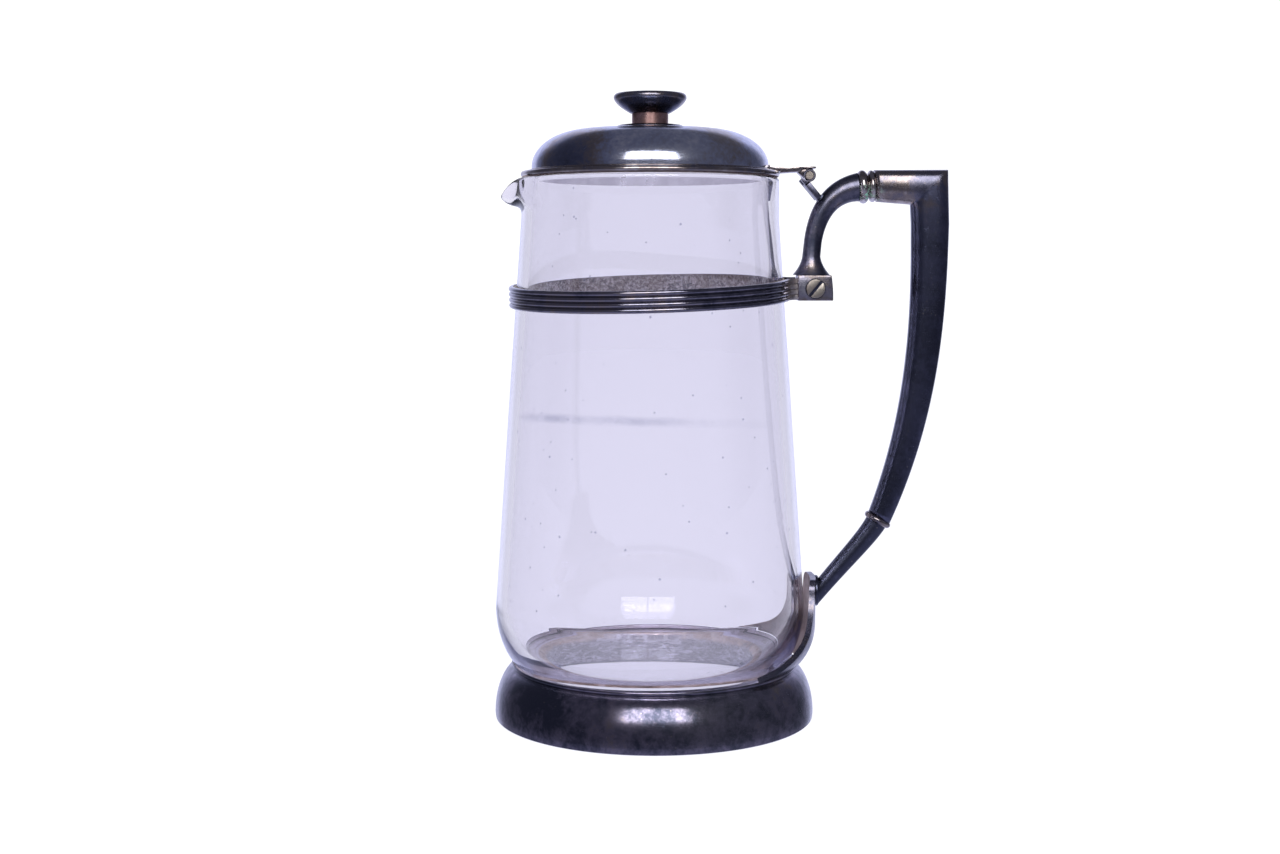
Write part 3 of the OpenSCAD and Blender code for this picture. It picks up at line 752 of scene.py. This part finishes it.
def clamp_screw():
    x = (SCREW_LO[0] + SCREW_HI[0]) / 2
    z = (SCREW_LO[2] + SCREW_HI[2]) / 2
    head_r = (SCREW_HI[0] - SCREW_LO[0]) / 2
    front = SCREW_LO[1]
    slot_half, slot_deep, slot_turn = 0.55, 0.8, 50
    parts = [rod_data(x, z, head_r, front + slot_deep, -LUG_OUT, edge=0.05),
             # A thin disc just wider than the head; its front face is painted dark below, as a painted
             # shadow line where the head meets the lug.
             rod_data(x, z, head_r + 0.35, -LUG_OUT - 0.06, -LUG_OUT + 0.02, edge=0.02),
             rod_data(x, z, 1.95, -LUG_OUT - 0.05, SCREW_HI[1])]
    cut = math.degrees(math.asin(slot_half / head_r))
    for side in (0, 180):
        land = arc(0, 0, head_r, head_r, cut, 180 - cut, 28)
        turn = math.radians(slot_turn + side)
        land = [(x + u * math.cos(turn) - w * math.sin(turn), z + u * math.sin(turn) + w * math.cos(turn))
                for u, w in land]
        parts.append(plate_data(land, front, front + slot_deep + 0.1, 0.22, 3))
    data = join(*parts)
    obj = piece("clamp_screw_slotted", *data, "jug", ["clamp_screw"], "screw_brass", MATS["brass"], sharp=30)

    # The slot's floor and the thin disc's front take the dark grip silver: painted shade in the slot and a
    # painted shadow line round the head.
    def slot_and_ring_shade(c, n):
        return n.y < -0.9 and front + 0.3 < c.y < -LUG_OUT
    repaint(obj, MATS["grip"], slot_and_ring_shade)


# ------------------------ handle
# A section runs from -1 to 1 from the inner to the outer side, and from -1 to 1 in depth.
ROUND = arc(0, 0, 1, 1, 0, 360 - 360 / ROUND_SIDES, ROUND_SIDES - 1)
GRIP_CORNERS = [(1, -0.45), (1, 0.45), (0.74, 0.9), (0.1, 1), (-0.54, 0.92), (-1, 0.42),
                (-1, -0.42), (-0.54, -0.92), (0.1, -1), (0.74, -0.9)]


def smooth_section(corners):
    """A closed section with its corners rounded by a quadratic curve."""
    out = []
    n = 6
    count = len(corners)
    for i in range(count):
        a, b, c = Vector(corners[i - 1]), Vector(corners[i]), Vector(corners[(i + 1) % count])
        p, q = (a + b) / 2, (b + c) / 2
        for k in range(n):
            t = k / n
            out.append(tuple((1 - t) ** 2 * p + 2 * t * (1 - t) * b + t * t * q))
    return out


GRIP_SECTION = smooth_section(GRIP_CORNERS)


def ring(low, high, depth, section):
    """A ring between an inner and an outer point of the handle's plane."""
    out = []
    for s, d in section:
        m = (s + 1) / 2
        out.append((low[0] + (high[0] - low[0]) * m, d * depth, low[1] + (high[1] - low[1]) * m))
    return out


def blend(first, last, s):
    """The ring that lies at a share of the way between two rings."""
    return [tuple(Vector(a).lerp(Vector(b), s)) for a, b in zip(first, last)]


def square_ring(centre, heading, half, depth, section):
    """The same ring, set square to a heading, given in degrees."""
    t = math.radians(heading)
    n = Vector((-math.sin(t), math.cos(t)))
    c = Vector(centre)
    return ring(c - n * half, c + n * half, depth, section)


def heading_of(path, t):
    a, b = bezier(path, max(t - 0.01, 0)), bezier(path, min(t + 0.01, 1))
    return math.degrees(math.atan2(b[1] - a[1], b[0] - a[0]))


def handle_arm():
    waist = 3.5
    rings = []
    for i in range(22):
        z = FLARE_LOW + FLARE_H * i / 21
        flare = ((186.5 - z) / 8.7) ** 2
        rings.append(square_ring((ARM_X, z), 90, waist + 3.9 * flare, waist + 2.9 * flare, ROUND))
    for i in range(10, 46):
        t = i / 48 + 0.04
        half = 3.45 + 2.15 * t ** 2.2
        rings.append(square_ring(bezier(ARM_PATH, t), heading_of(ARM_PATH, t), half, half * 0.95, ROUND))
    rings.append(square_ring(BEAD_AT, BEAD_TILT, 5.7, 5.4, ROUND))
    near, far, low, top = LUG_LO[0] + 0.4, LUG_HI[0], LUG_LO[2] + 0.4, LUG_HI[2] + 0.1
    half_t = 1.55
    tongue = plate_data([(near, low), (near, top), (far - 1, top), (far - 0.1, low)], -half_t, half_t, 0.2)
    data = join(loft_data(rings), tongue)
    piece("handle_arm_curved", *data, "jug", ["handle_arm"], "dark_silver", MATS["arm"], sharp=40)


def beads(name, node, at, direction, outline):
    """A turned bead piece set along the handle's line."""
    verts, faces = lathe_data(outline, segs=96)
    d = Vector((direction[0], 0, direction[1])).normalized()
    turn = Vector((0, 0, 1)).rotation_difference(d).to_matrix()
    origin = Vector((at[0], 0, at[1]))
    verts = [tuple(origin + turn @ Vector(v)) for v in verts]
    piece(name, verts, faces, "jug", [node], "silver", MATS["bead"], sharp=50)


def upper_beads():
    t = math.radians(BEAD_TILT)
    outline = [(0.01, 0), (4.6, 0)] + arc(4.6, 1.9, 2, 1.88, -90, 90, 16)
    outline += arc(4.5, BEAD_LEN - 1.4, 1.8, 1.4, -90, 90, 14) + [(0.01, BEAD_LEN)]
    direction = (math.cos(t), math.sin(t))
    beads("beads_upper", "upper_bead_rings", BEAD_AT, direction, outline)


def top_bar():
    t = math.radians(BEAD_TILT)
    start = (BEAD_AT[0] + BEAD_LEN * math.cos(t), BEAD_AT[1] + BEAD_LEN * math.sin(t))
    first = square_ring(start, BEAD_TILT, 6.3, GRIP_DEPTH - 0.5, GRIP_SECTION)
    last = ring(MITRE_IN, MITRE_OUT, GRIP_DEPTH, GRIP_SECTION)
    rings = [blend(first, last, i / 12) for i in range(13)]
    return piece("top_bar", *loft_data(rings), "jug", ["handle_top_bar"], "silver", MATS["bar"], sharp=50)


def grip_in(z):
    """How far the grip has swept in towards the jug at a height."""
    if z > GRIP_BEND_Z:
        return 0
    return GRIP_SWEEP * ((GRIP_BEND_Z - z) / GRIP_DROP) ** GRIP_POWER


def grip_ring(z):
    width = GRIP_TOP + (GRIP_END - GRIP_TOP) * (GRIP_BEND_Z - z) / GRIP_DROP
    reach = max(GRIP_BEND_Z - z, 0) / (GRIP_BEND_Z - GRIP_END_Z)
    tilt = TAIL_TILT * reach ** (GRIP_POWER - 1)
    centre = (GRIP_X + GRIP_TOP / 2 - grip_in(z), z)
    depth = GRIP_DEPTH * (0.72 + 0.28 * z / GRIP_BEND_Z)
    return square_ring(centre, 270 - tilt, width / 2 * math.cos(math.radians(tilt)), depth, GRIP_SECTION)


def grip():
    first = ring(MITRE_IN, MITRE_OUT, GRIP_DEPTH, GRIP_SECTION)
    second = grip_ring(GRIP_START_Z)
    rings = [blend(first, second, i / 6) for i in range(6)]
    steps = 72
    rings += [grip_ring(GRIP_START_Z - (GRIP_START_Z - GRIP_END_Z) * i / steps) for i in range(steps + 1)]
    data = loft_data(rings)
    return piece("grip_curved", *data, "jug", ["handle_grip"], "dark_silver", MATS["grip"], sharp=50)


TAIL_FROM = (GRIP_X + GRIP_TOP / 2 - grip_in(GRIP_END_Z), GRIP_END_Z)
TAIL_DIR = (-math.sin(math.radians(TAIL_TILT)), -math.cos(math.radians(TAIL_TILT)))


def soften_mitre(bar_obj, grip_obj):
    """Shades the bar and the grip as one surface across their mitre."""
    def key(v):
        return tuple(round(c / MM, 2) for c in v.co)
    normals = [{key(v): v.normal.copy() for v in obj.data.vertices} for obj in (bar_obj, grip_obj)]
    for obj in (bar_obj, grip_obj):
        shared = [v for v in obj.data.vertices if key(v) in normals[0] and key(v) in normals[1]]
        made = [tuple(v.normal) for v in obj.data.vertices]
        for v in shared:
            made[v.index] = tuple((normals[0][key(v)] + normals[1][key(v)]).normalized())
        obj.data.normals_split_custom_set_from_vertices(made)


def handle_square():
    soften_mitre(top_bar(), grip())


def lower_bead():
    outline = [(0.01, 0), (4.4, 0)] + arc(4.4, TAIL_BEAD_T / 2, 1.3, TAIL_BEAD_T / 2, -90, 90, 14)
    outline += [(4.4, TAIL_BEAD_T), (0.01, TAIL_BEAD_T)]
    beads("bead_lower", "lower_bead_ring", TAIL_FROM, TAIL_DIR, outline)


def tail():
    start = (TAIL_FROM[0] + TAIL_BEAD_T * TAIL_DIR[0], TAIL_FROM[1] + TAIL_BEAD_T * TAIL_DIR[1])
    on = (start[0] + 8 * TAIL_DIR[0], start[1] + 8 * TAIL_DIR[1])
    path = [start, on, (78.2, 62.4), (BOSS_LO[0] - 1, 47.1)]
    rings = []
    for i in range(41):
        t = i / 40
        half = 4.4 - 1.1 * t
        turn = 270 - TAIL_TILT if i == 0 else heading_of(path, t)
        rings.append(square_ring(bezier(path, t), turn, half, half * 0.95, ROUND))
    data = cut_by(loft_data(rings), (BOSS_HI[0] + 0.02, 0, 0), (-1, 0, 0))
    piece("tail_curved", *data, "jug", ["handle_tail"], "dark_silver", MATS["tail"], sharp=50)


def boss():
    zc = (BOSS_LO[2] + BOSS_HI[2]) / 2
    half_z = (BOSS_HI[2] - BOSS_LO[2]) / 2
    half_y = (BOSS_HI[1] - BOSS_LO[1]) / 2
    x0, x1 = BOSS_LO[0], BOSS_HI[0]
    sides = 64
    rows = []
    for x, k in ((x0, 1.0), (x1 - 0.6, 1.0), (x1 - 0.3, 0.98), (x1 - 0.08, 0.94), (x1, 0.88)):
        row = []
        for j in range(sides):
            t = 2 * math.pi * j / sides
            row.append((x, half_y * k * math.sin(t), zc + half_z * k * math.cos(t)))
        rows.append(row)
    piece("tail_boss_round", *loft_data(rows), "jug", ["tail_boss"], "dark_silver", MATS["tail"], sharp=45)


def cradle():
    outer_x = CRADLE_HI[0]
    bend_x = 52.9
    bend_z = 38.5
    bend_b = 18.6
    thick = 2.2
    tab, fan, corner = 13, 30, 4
    top, low = CRADLE_HI[2], CRADLE_LO[2]
    turn = math.degrees(math.asin((bend_z - low) / bend_b))
    a = outer_x - bend_x

    def profile(shrink):
        out = [(outer_x - shrink, top - corner * (k / 8) ** 2) for k in range(8)]
        out += [(outer_x - shrink, top - corner - (top - corner - bend_z) * k / 12) for k in range(12)]
        out += arc(bend_x, bend_z, a - shrink, bend_b - shrink * 0.98, 0, -turn, 26)
        return out
    outside, inside = profile(0), profile(thick)
    cols = 40
    grid = []
    for line in (outside, inside):
        rows = []
        for k, (r, z) in enumerate(line):
            zz = outside[k][1]
            half = tab + fan * ((top - zz) / (top - low)) ** 2.2
            if top - zz < corner:
                half += math.sqrt(corner ** 2 - (corner - top + zz) ** 2) - corner
            span = math.asin(min(half / outside[k][0], 0.95))
            turns = [span * (2 * j / cols - 1) for j in range(cols + 1)]
            rows.append([(r * math.cos(t), r * math.sin(t), z) for t in turns])
        grid.append(rows)
    verts, faces = [], []
    for rows in grid:
        for row in rows:
            verts += row
    n, m = len(outside), cols + 1
    back = n * m
    for i in range(n - 1):
        for j in range(cols):
            q = (i * m + j, i * m + j + 1, (i + 1) * m + j + 1, (i + 1) * m + j)
            faces.append(q)
            faces.append(tuple(back + v for v in reversed(q)))
    edge = list(range(m)) + [i * m + cols for i in range(1, n)]
    edge += [(n - 1) * m + j for j in range(cols - 1, -1, -1)] + [i * m for i in range(n - 2, 0, -1)]
    for i in range(len(edge)):
        k = (i + 1) % len(edge)
        faces.append((edge[i], back + edge[i], back + edge[k], edge[k]))
    obj = piece("cradle_fan", verts, faces, "jug", ["heel_cradle"], "dark_silver", MATS["cradle"], sharp=40)

    def inner_face(c, n):
        return faces_axis(c, n, 0.2)
    repaint(obj, MATS["inner"], inner_face)


# ------------------------ hinge
def turned_box(centre, size, degrees, bevel=0.3):
    """A softened block turned about the Y axis."""
    work = bmesh.new()
    bmesh.ops.create_cube(work, size=1)
    bmesh.ops.scale(work, vec=size, verts=work.verts)
    bmesh.ops.bevel(work, geom=work.edges[:], offset=bevel, segments=2, profile=0.5, affect="EDGES")
    bmesh.ops.rotate(work, matrix=Matrix.Rotation(math.radians(degrees), 3, "Y"), verts=work.verts)
    bmesh.ops.translate(work, vec=centre, verts=work.verts)
    return take(work)


def hinge():
    barrel = BARREL_HALF
    gap = KNUCKLE_HALF + 0.1
    x, z = HINGE[0], HINGE[2]
    turn = math.radians(LEAF_TURN)
    along = Vector((math.cos(turn), 0, -math.sin(turn)))
    up = Vector((math.sin(turn), 0, math.cos(turn)))
    base = Vector((x, 0, z - 2.3))
    parts = []
    leaf = base + along * 3.6 - up * LEAF_T / 2
    parts.append(turned_box(leaf, (8.0, 2 * barrel, LEAF_T), LEAF_TURN))
    for side in (-1, 1):
        ear = base + along * -0.9 - up * LEAF_T / 2
        middle = (ear.x, side * (gap + barrel) / 2, ear.z)
        parts.append(turned_box(middle, (3.4, barrel - gap, LEAF_T), LEAF_TURN))
        y0, y1 = sorted((side * gap, side * barrel))
        parts.append(rod_data(x, z, KNUCKLE_R, y0, y1))
    parts.append(turned_box((67.9, 0, 207.5), (3.2, 4.8, 3.2), LEAF_TURN, 0.5))
    piece("hinge_leaf_fixed", *join(*parts), "jug", ["hinge_leaf"], "dark_silver", MATS["arm"])
    pin = join(rod_data(x, z, PIN_R, -barrel, barrel, 40, 0.1),
               rod_data(x, z, PIN_R + 0.5, PIN_LO[1], -barrel, 40, 0.3),
               rod_data(x, z, PIN_R + 0.35, barrel, PIN_HI[1], 40, 0.1))
    piece("hinge_pin_headed", *pin, "jug", ["hinge_pin"], "screw_brass", MATS["brass"])


def lid_arm():
    x, z = HINGE[0], HINGE[2]
    top = FLANGE_Z + FLANGE_T + 0.05
    ledge_z, ledge_end, ledge_t = 219.6, TONGUE_HI[0], 0.7
    crest = [(52, 221.0), (58, 220.7), (ledge_end, ledge_z + ledge_t), (ledge_end, ledge_z), (60.2, ledge_z),
             (58.9, 218.3), (51.4, 217.9), (51.4, top)]
    tongue = plate_data([(DOME_R + 0.1, top), (DOME_R + 0.1, 221.2)] + crest, -4.6, 4.6, 0.22)
    under = ledge_z + 0.3
    web_line = [(58.3, 218.1), (59.8, under), (63.9, under), (64.5, 218.9), (x, z + 0.5), (x - 2.4, z - 0.5)]
    web = plate_data(web_line, 0.02 - KNUCKLE_HALF, KNUCKLE_HALF - 0.02, 0.15)
    knuckle = rod_data(x, z, KNUCKLE_R, -KNUCKLE_HALF, KNUCKLE_HALF)
    piece("lid_tongue", *join(tongue, web, knuckle), "lid", ["lid_hinge_arm"], "dark_silver", MATS["rim"])


# ------------------------ lid
def lid():
    outline = [(DOME_R, FLANGE_Z + FLANGE_T)]
    outline += arc(CROWN_X, DOME_Z, DOME_A, DOME_B, 0, 90, 48)
    shares = [s / 10 for s in range(9, 1, -1)]
    outline += [(CROWN_X * s, CROWN_Z - CROWN_DROP * s * s) for s in shares]
    outline += [(2, CROWN_Z), (2, CROWN_Z - LID_WALL)]
    outline += [(CROWN_X * s, CROWN_Z - LID_WALL - CROWN_DROP * s * s) for s in (0.2, 0.4, 0.6, 0.8)]
    outline += arc(CROWN_X, DOME_Z, DOME_A - LID_WALL, DOME_B - LID_WALL, 90, 0, 24)
    outline += [(DOME_R - LID_WALL, FLANGE_Z + FLANGE_T)]
    data = lathe_data(outline)
    dome = piece("lid_dome_round", *data, "lid", ["lid_dome"], "silver", MATS["lid"])
    mid = FLANGE_Z + FLANGE_T / 2
    half = FLANGE_T / 2
    rim = [(BEAD_IN, FLANGE_Z + FLANGE_T), (BEAD_IN, FLANGE_Z - 1.2), (BEAD_IN + 0.2, FLANGE_Z - 1.4)]
    rim += [(BEAD_IN + 0.8, FLANGE_Z - 1.4), (BEAD_IN + 1.1, FLANGE_Z - 1.1), (BEAD_IN + 1.6, FLANGE_Z)]
    rim += arc(LID_R - half, mid, half, half, -90, 60, 18)
    rim += [(LID_R - half, FLANGE_Z + FLANGE_T - 0.04), (DOME_R + 1.2, FLANGE_Z + FLANGE_T)]
    data = lathe_data(rim)
    under = piece("lid_rim", *data, "lid", ["lid_rim_ring"], "silver", MATS["rim"])

    def inside(c, n):
        return off_axis(c) < DOME_R + 0.2 and (faces_axis(c, n, 0.3) or n.z < -0.3)

    def underside(c, n):
        return c.z < FLANGE_Z + 0.35 and not inside(c, n)
    repaint(dome, MATS["lid_inside"], inside)
    repaint(under, MATS["lid_inside"], inside)
    repaint(under, MATS["inner"], underside)
    seam = arc(DOME_R + 0.35, FLANGE_Z + FLANGE_T + 0.3, 0.42, 0.42, 0, 330, 11)
    data = lathe_data(seam, segs=192)
    piece("lid_solder_seam", *data, "lid", [], "silver", MATS["bar"])


def knob():
    crown = CROWN_Z
    r = ROSETTE_HI[1]
    low, top = STEM_LO[2], STEM_HI[2]
    outline = [(2, crown), (4, crown), (r - 0.2, crown - 0.15), (r, crown), (r, crown + 0.6)]
    outline += [(r - 0.3, crown + 0.8), (r - 0.9, low - 0.05), (r - 1.6, low), (2, low)]
    data = lathe_data(outline, segs=128)
    piece("knob_washer", *data, "lid", ["knob_rosette"], "dark_silver", MATS["knob"])
    stem_r = STEM_HI[1]
    outline = [(2, low), (stem_r - 0.25, low), (stem_r, low + 0.25), (stem_r, top - 0.02), (2, top - 0.02)]
    data = lathe_data(outline, segs=128)
    piece("knob_stem_copper", *data, "lid", ["knob_stem"], "copper", MATS["copper"])
    cap_r, cap_z = CAP_HI[1], CAP_HI[2]
    edge = 1.6
    flare = [(stem_r + 0.9, top + 0.3), (stem_r + 3.2, top + 1.7)]
    flare += [(cap_r - 0.9, cap_z - 4.5), (cap_r, cap_z - 2)]
    outline = [(0.01, top), (stem_r, top)] + [bezier(flare, i / 20) for i in range(21)]
    outline += arc(cap_r - edge, cap_z - edge, edge, edge, 4, 80, 12)
    outline += [(cap_r - 3.2, cap_z), (0.01, cap_z)]
    data = lathe_data(outline, segs=160)
    piece("knob_cap_turned", *data, "lid", ["knob_cap"], "dark_silver", MATS["knob"], sharp=45)


# ------------------------ stage, light and camera
FLOOR_HALF = 3.0
FLOOR_DROP = 0.0002
BOX_X = (-0.225, 0.285)
BOX_Y = -1.08
BOX_Z = 0.84
BOX_SIZE = (0.48, 0.80)
BOX_POWER = 7.3
FILL_Z = 1.6
FILL_SIZE = (3.0, 3.0)
FILL_POWER = 8.0
SIDE_FLAG = 0.6
BACKDROP = 1.15
LENS = 49.56
CAMERA_AT = (-0.0040, -0.705, 0.1835)
CAMERA_TILT = 84.6


def floor():
    """A glowing white floor that the metal doesn't mirror."""
    mesh = bpy.data.meshes.new("floor")
    h, z = FLOOR_HALF, -FLOOR_DROP
    mesh.from_pydata([(-h, -h, z), (h, -h, z), (h, h, z), (-h, h, z)], [], [(0, 1, 2, 3)])
    obj = put("floor", mesh)
    mat = bpy.data.materials.new("floor_white")
    mat.use_nodes = True
    shader = mat.node_tree.nodes["Principled BSDF"]
    shader.inputs["Base Color"].default_value = (0.12, 0.12, 0.12, 1)
    shader.inputs["Roughness"].default_value = 0.9
    shader.inputs["Specular IOR Level"].default_value = 0.0
    shader.inputs["Emission Color"].default_value = (1, 1, 1.06, 1)
    shader.inputs["Emission Strength"].default_value = 0.93
    mesh.materials.append(mat)
    obj.visible_glossy = False


def area(name, where, aim, size, power, glossy=True):
    """A rectangular lamp that the camera doesn't see."""
    light = bpy.data.lights.new(name, "AREA")
    light.shape = "RECTANGLE"
    light.size, light.size_y = size
    light.energy = power
    obj = put(name, light)
    obj.location = where
    obj.rotation_euler = (Vector(aim) - Vector(where)).to_track_quat("-Z", "Y").to_euler()
    obj.visible_camera = False
    obj.visible_transmission = glossy
    obj.visible_glossy = glossy
    return obj


def lights():
    for name, x in zip(("softbox_left", "softbox_right"), BOX_X):
        area(name, (x, BOX_Y, BOX_Z), (x, 0, BOX_Z), BOX_SIZE, BOX_POWER)
    area("overhead_fill", (0, 0, FILL_Z), (0, 0, 0), FILL_SIZE, FILL_POWER, glossy=False)


def world():
    """Light that differs for reflected, transmitted and camera rays, with dark flags at the sides."""
    made = bpy.data.worlds.new("studio")
    bpy.context.scene.world = made
    made.use_nodes = True
    tree = made.node_tree
    tree.nodes.clear()
    new, link = tree.nodes.new, tree.links.new

    def value(op, a, b=None):
        node = new("ShaderNodeMath")
        node.operation = op
        for i, v in enumerate((a, b)):
            if isinstance(v, bpy.types.NodeSocket):
                link(v, node.inputs[i])
            elif v is not None:
                node.inputs[i].default_value = v
        return node.outputs[0]

    def smooth(v, low, high, a, b):
        node = new("ShaderNodeMapRange")
        node.interpolation_type = "SMOOTHSTEP"
        link(v, node.inputs["Value"])
        for key, x in (("From Min", low), ("From Max", high), ("To Min", a), ("To Max", b)):
            node.inputs[key].default_value = x
        return node.outputs["Result"]

    coord = new("ShaderNodeTexCoord")
    split = new("ShaderNodeSeparateXYZ")
    link(coord.outputs["Generated"], split.inputs[0])
    x, y, z = split.outputs
    side = value("ARCTAN2", value("ABSOLUTE", x), y)
    rise = value("ARCSINE", z)
    # Bright behind the jug and fading upwards, dim below and elsewhere
    near_back = smooth(side, math.radians(26), math.radians(40), 0.6, 0)
    wide_back = smooth(side, math.radians(30), math.radians(66), 0.45, 0)
    height = smooth(rise, math.radians(30), math.radians(42), 1, 0)
    back = value("MULTIPLY", value("ADD", near_back, wide_back), height)
    under = smooth(rise, math.radians(-35), math.radians(-4), 0.45, 0.0)
    hard = value("MAXIMUM", back, value("ADD", under, 0.15))
    # Darker strips at both sides, which draw the glass's edges
    flag = value("MULTIPLY", smooth(side, math.radians(70), math.radians(92), 0, 1),
                 smooth(side, math.radians(98), math.radians(125), 1, 0))
    wide = value("SUBTRACT", 1.0, value("MULTIPLY", flag, SIDE_FLAG))
    path = new("ShaderNodeLightPath")

    def light(colour, strength):
        node = new("ShaderNodeBackground")
        node.inputs["Color"].default_value = (*colour, 1)
        if isinstance(strength, bpy.types.NodeSocket):
            link(strength, node.inputs["Strength"])
        else:
            node.inputs["Strength"].default_value = strength
        return node.outputs[0]

    def choose(fac, a, b):
        node = new("ShaderNodeMixShader")
        link(fac, node.inputs[0])
        link(a, node.inputs[1])
        link(b, node.inputs[2])
        return node.outputs[0]

    other = light((0.95, 0.96, 1.0), wide)
    shiny = light((0.80, 0.83, 1.16), hard)
    through = light((1.02, 1.02, 1.08), wide)
    seen = light((1, 1, 1), BACKDROP)
    mixed = choose(path.outputs["Is Glossy Ray"], other, shiny)
    mixed = choose(path.outputs["Is Transmission Ray"], mixed, through)
    mixed = choose(path.outputs["Is Camera Ray"], mixed, seen)
    out = new("ShaderNodeOutputWorld")
    link(mixed, out.inputs["Surface"])


def camera():
    data = bpy.data.cameras.new("camera")
    data.lens = LENS
    data.sensor_width = 36
    data.clip_end = 50
    obj = put("camera", data)
    obj.location = CAMERA_AT
    obj.rotation_euler = (math.radians(CAMERA_TILT), 0, 0)
    bpy.context.scene.camera = obj


def paint_cad():
    """Gives the CAD nodes that stay visible their finish."""
    finish = {"foot_base_ring": "foot", "collar_liner": "packing", "knob_stud": "brass", "knob_nut": "brass"}
    for node, mat in finish.items():
        for entry in frame["nodes"][node].material_slots:
            entry.material = MATS[mat]


for make in (foot, seat_ring, glass, collar, lugs, clamp_screw, handle_arm, upper_beads, handle_square,
             lower_bead, tail, boss, cradle, hinge, lid_arm, lid, knob, paint_cad, floor, lights,
             world, camera):
    make()

scene = bpy.context.scene
scene.view_settings.view_transform = "Standard"
scene.view_settings.look = "None"
scene.cycles.max_bounces = 32
scene.cycles.glossy_bounces = 24
scene.cycles.transmission_bounces = 32
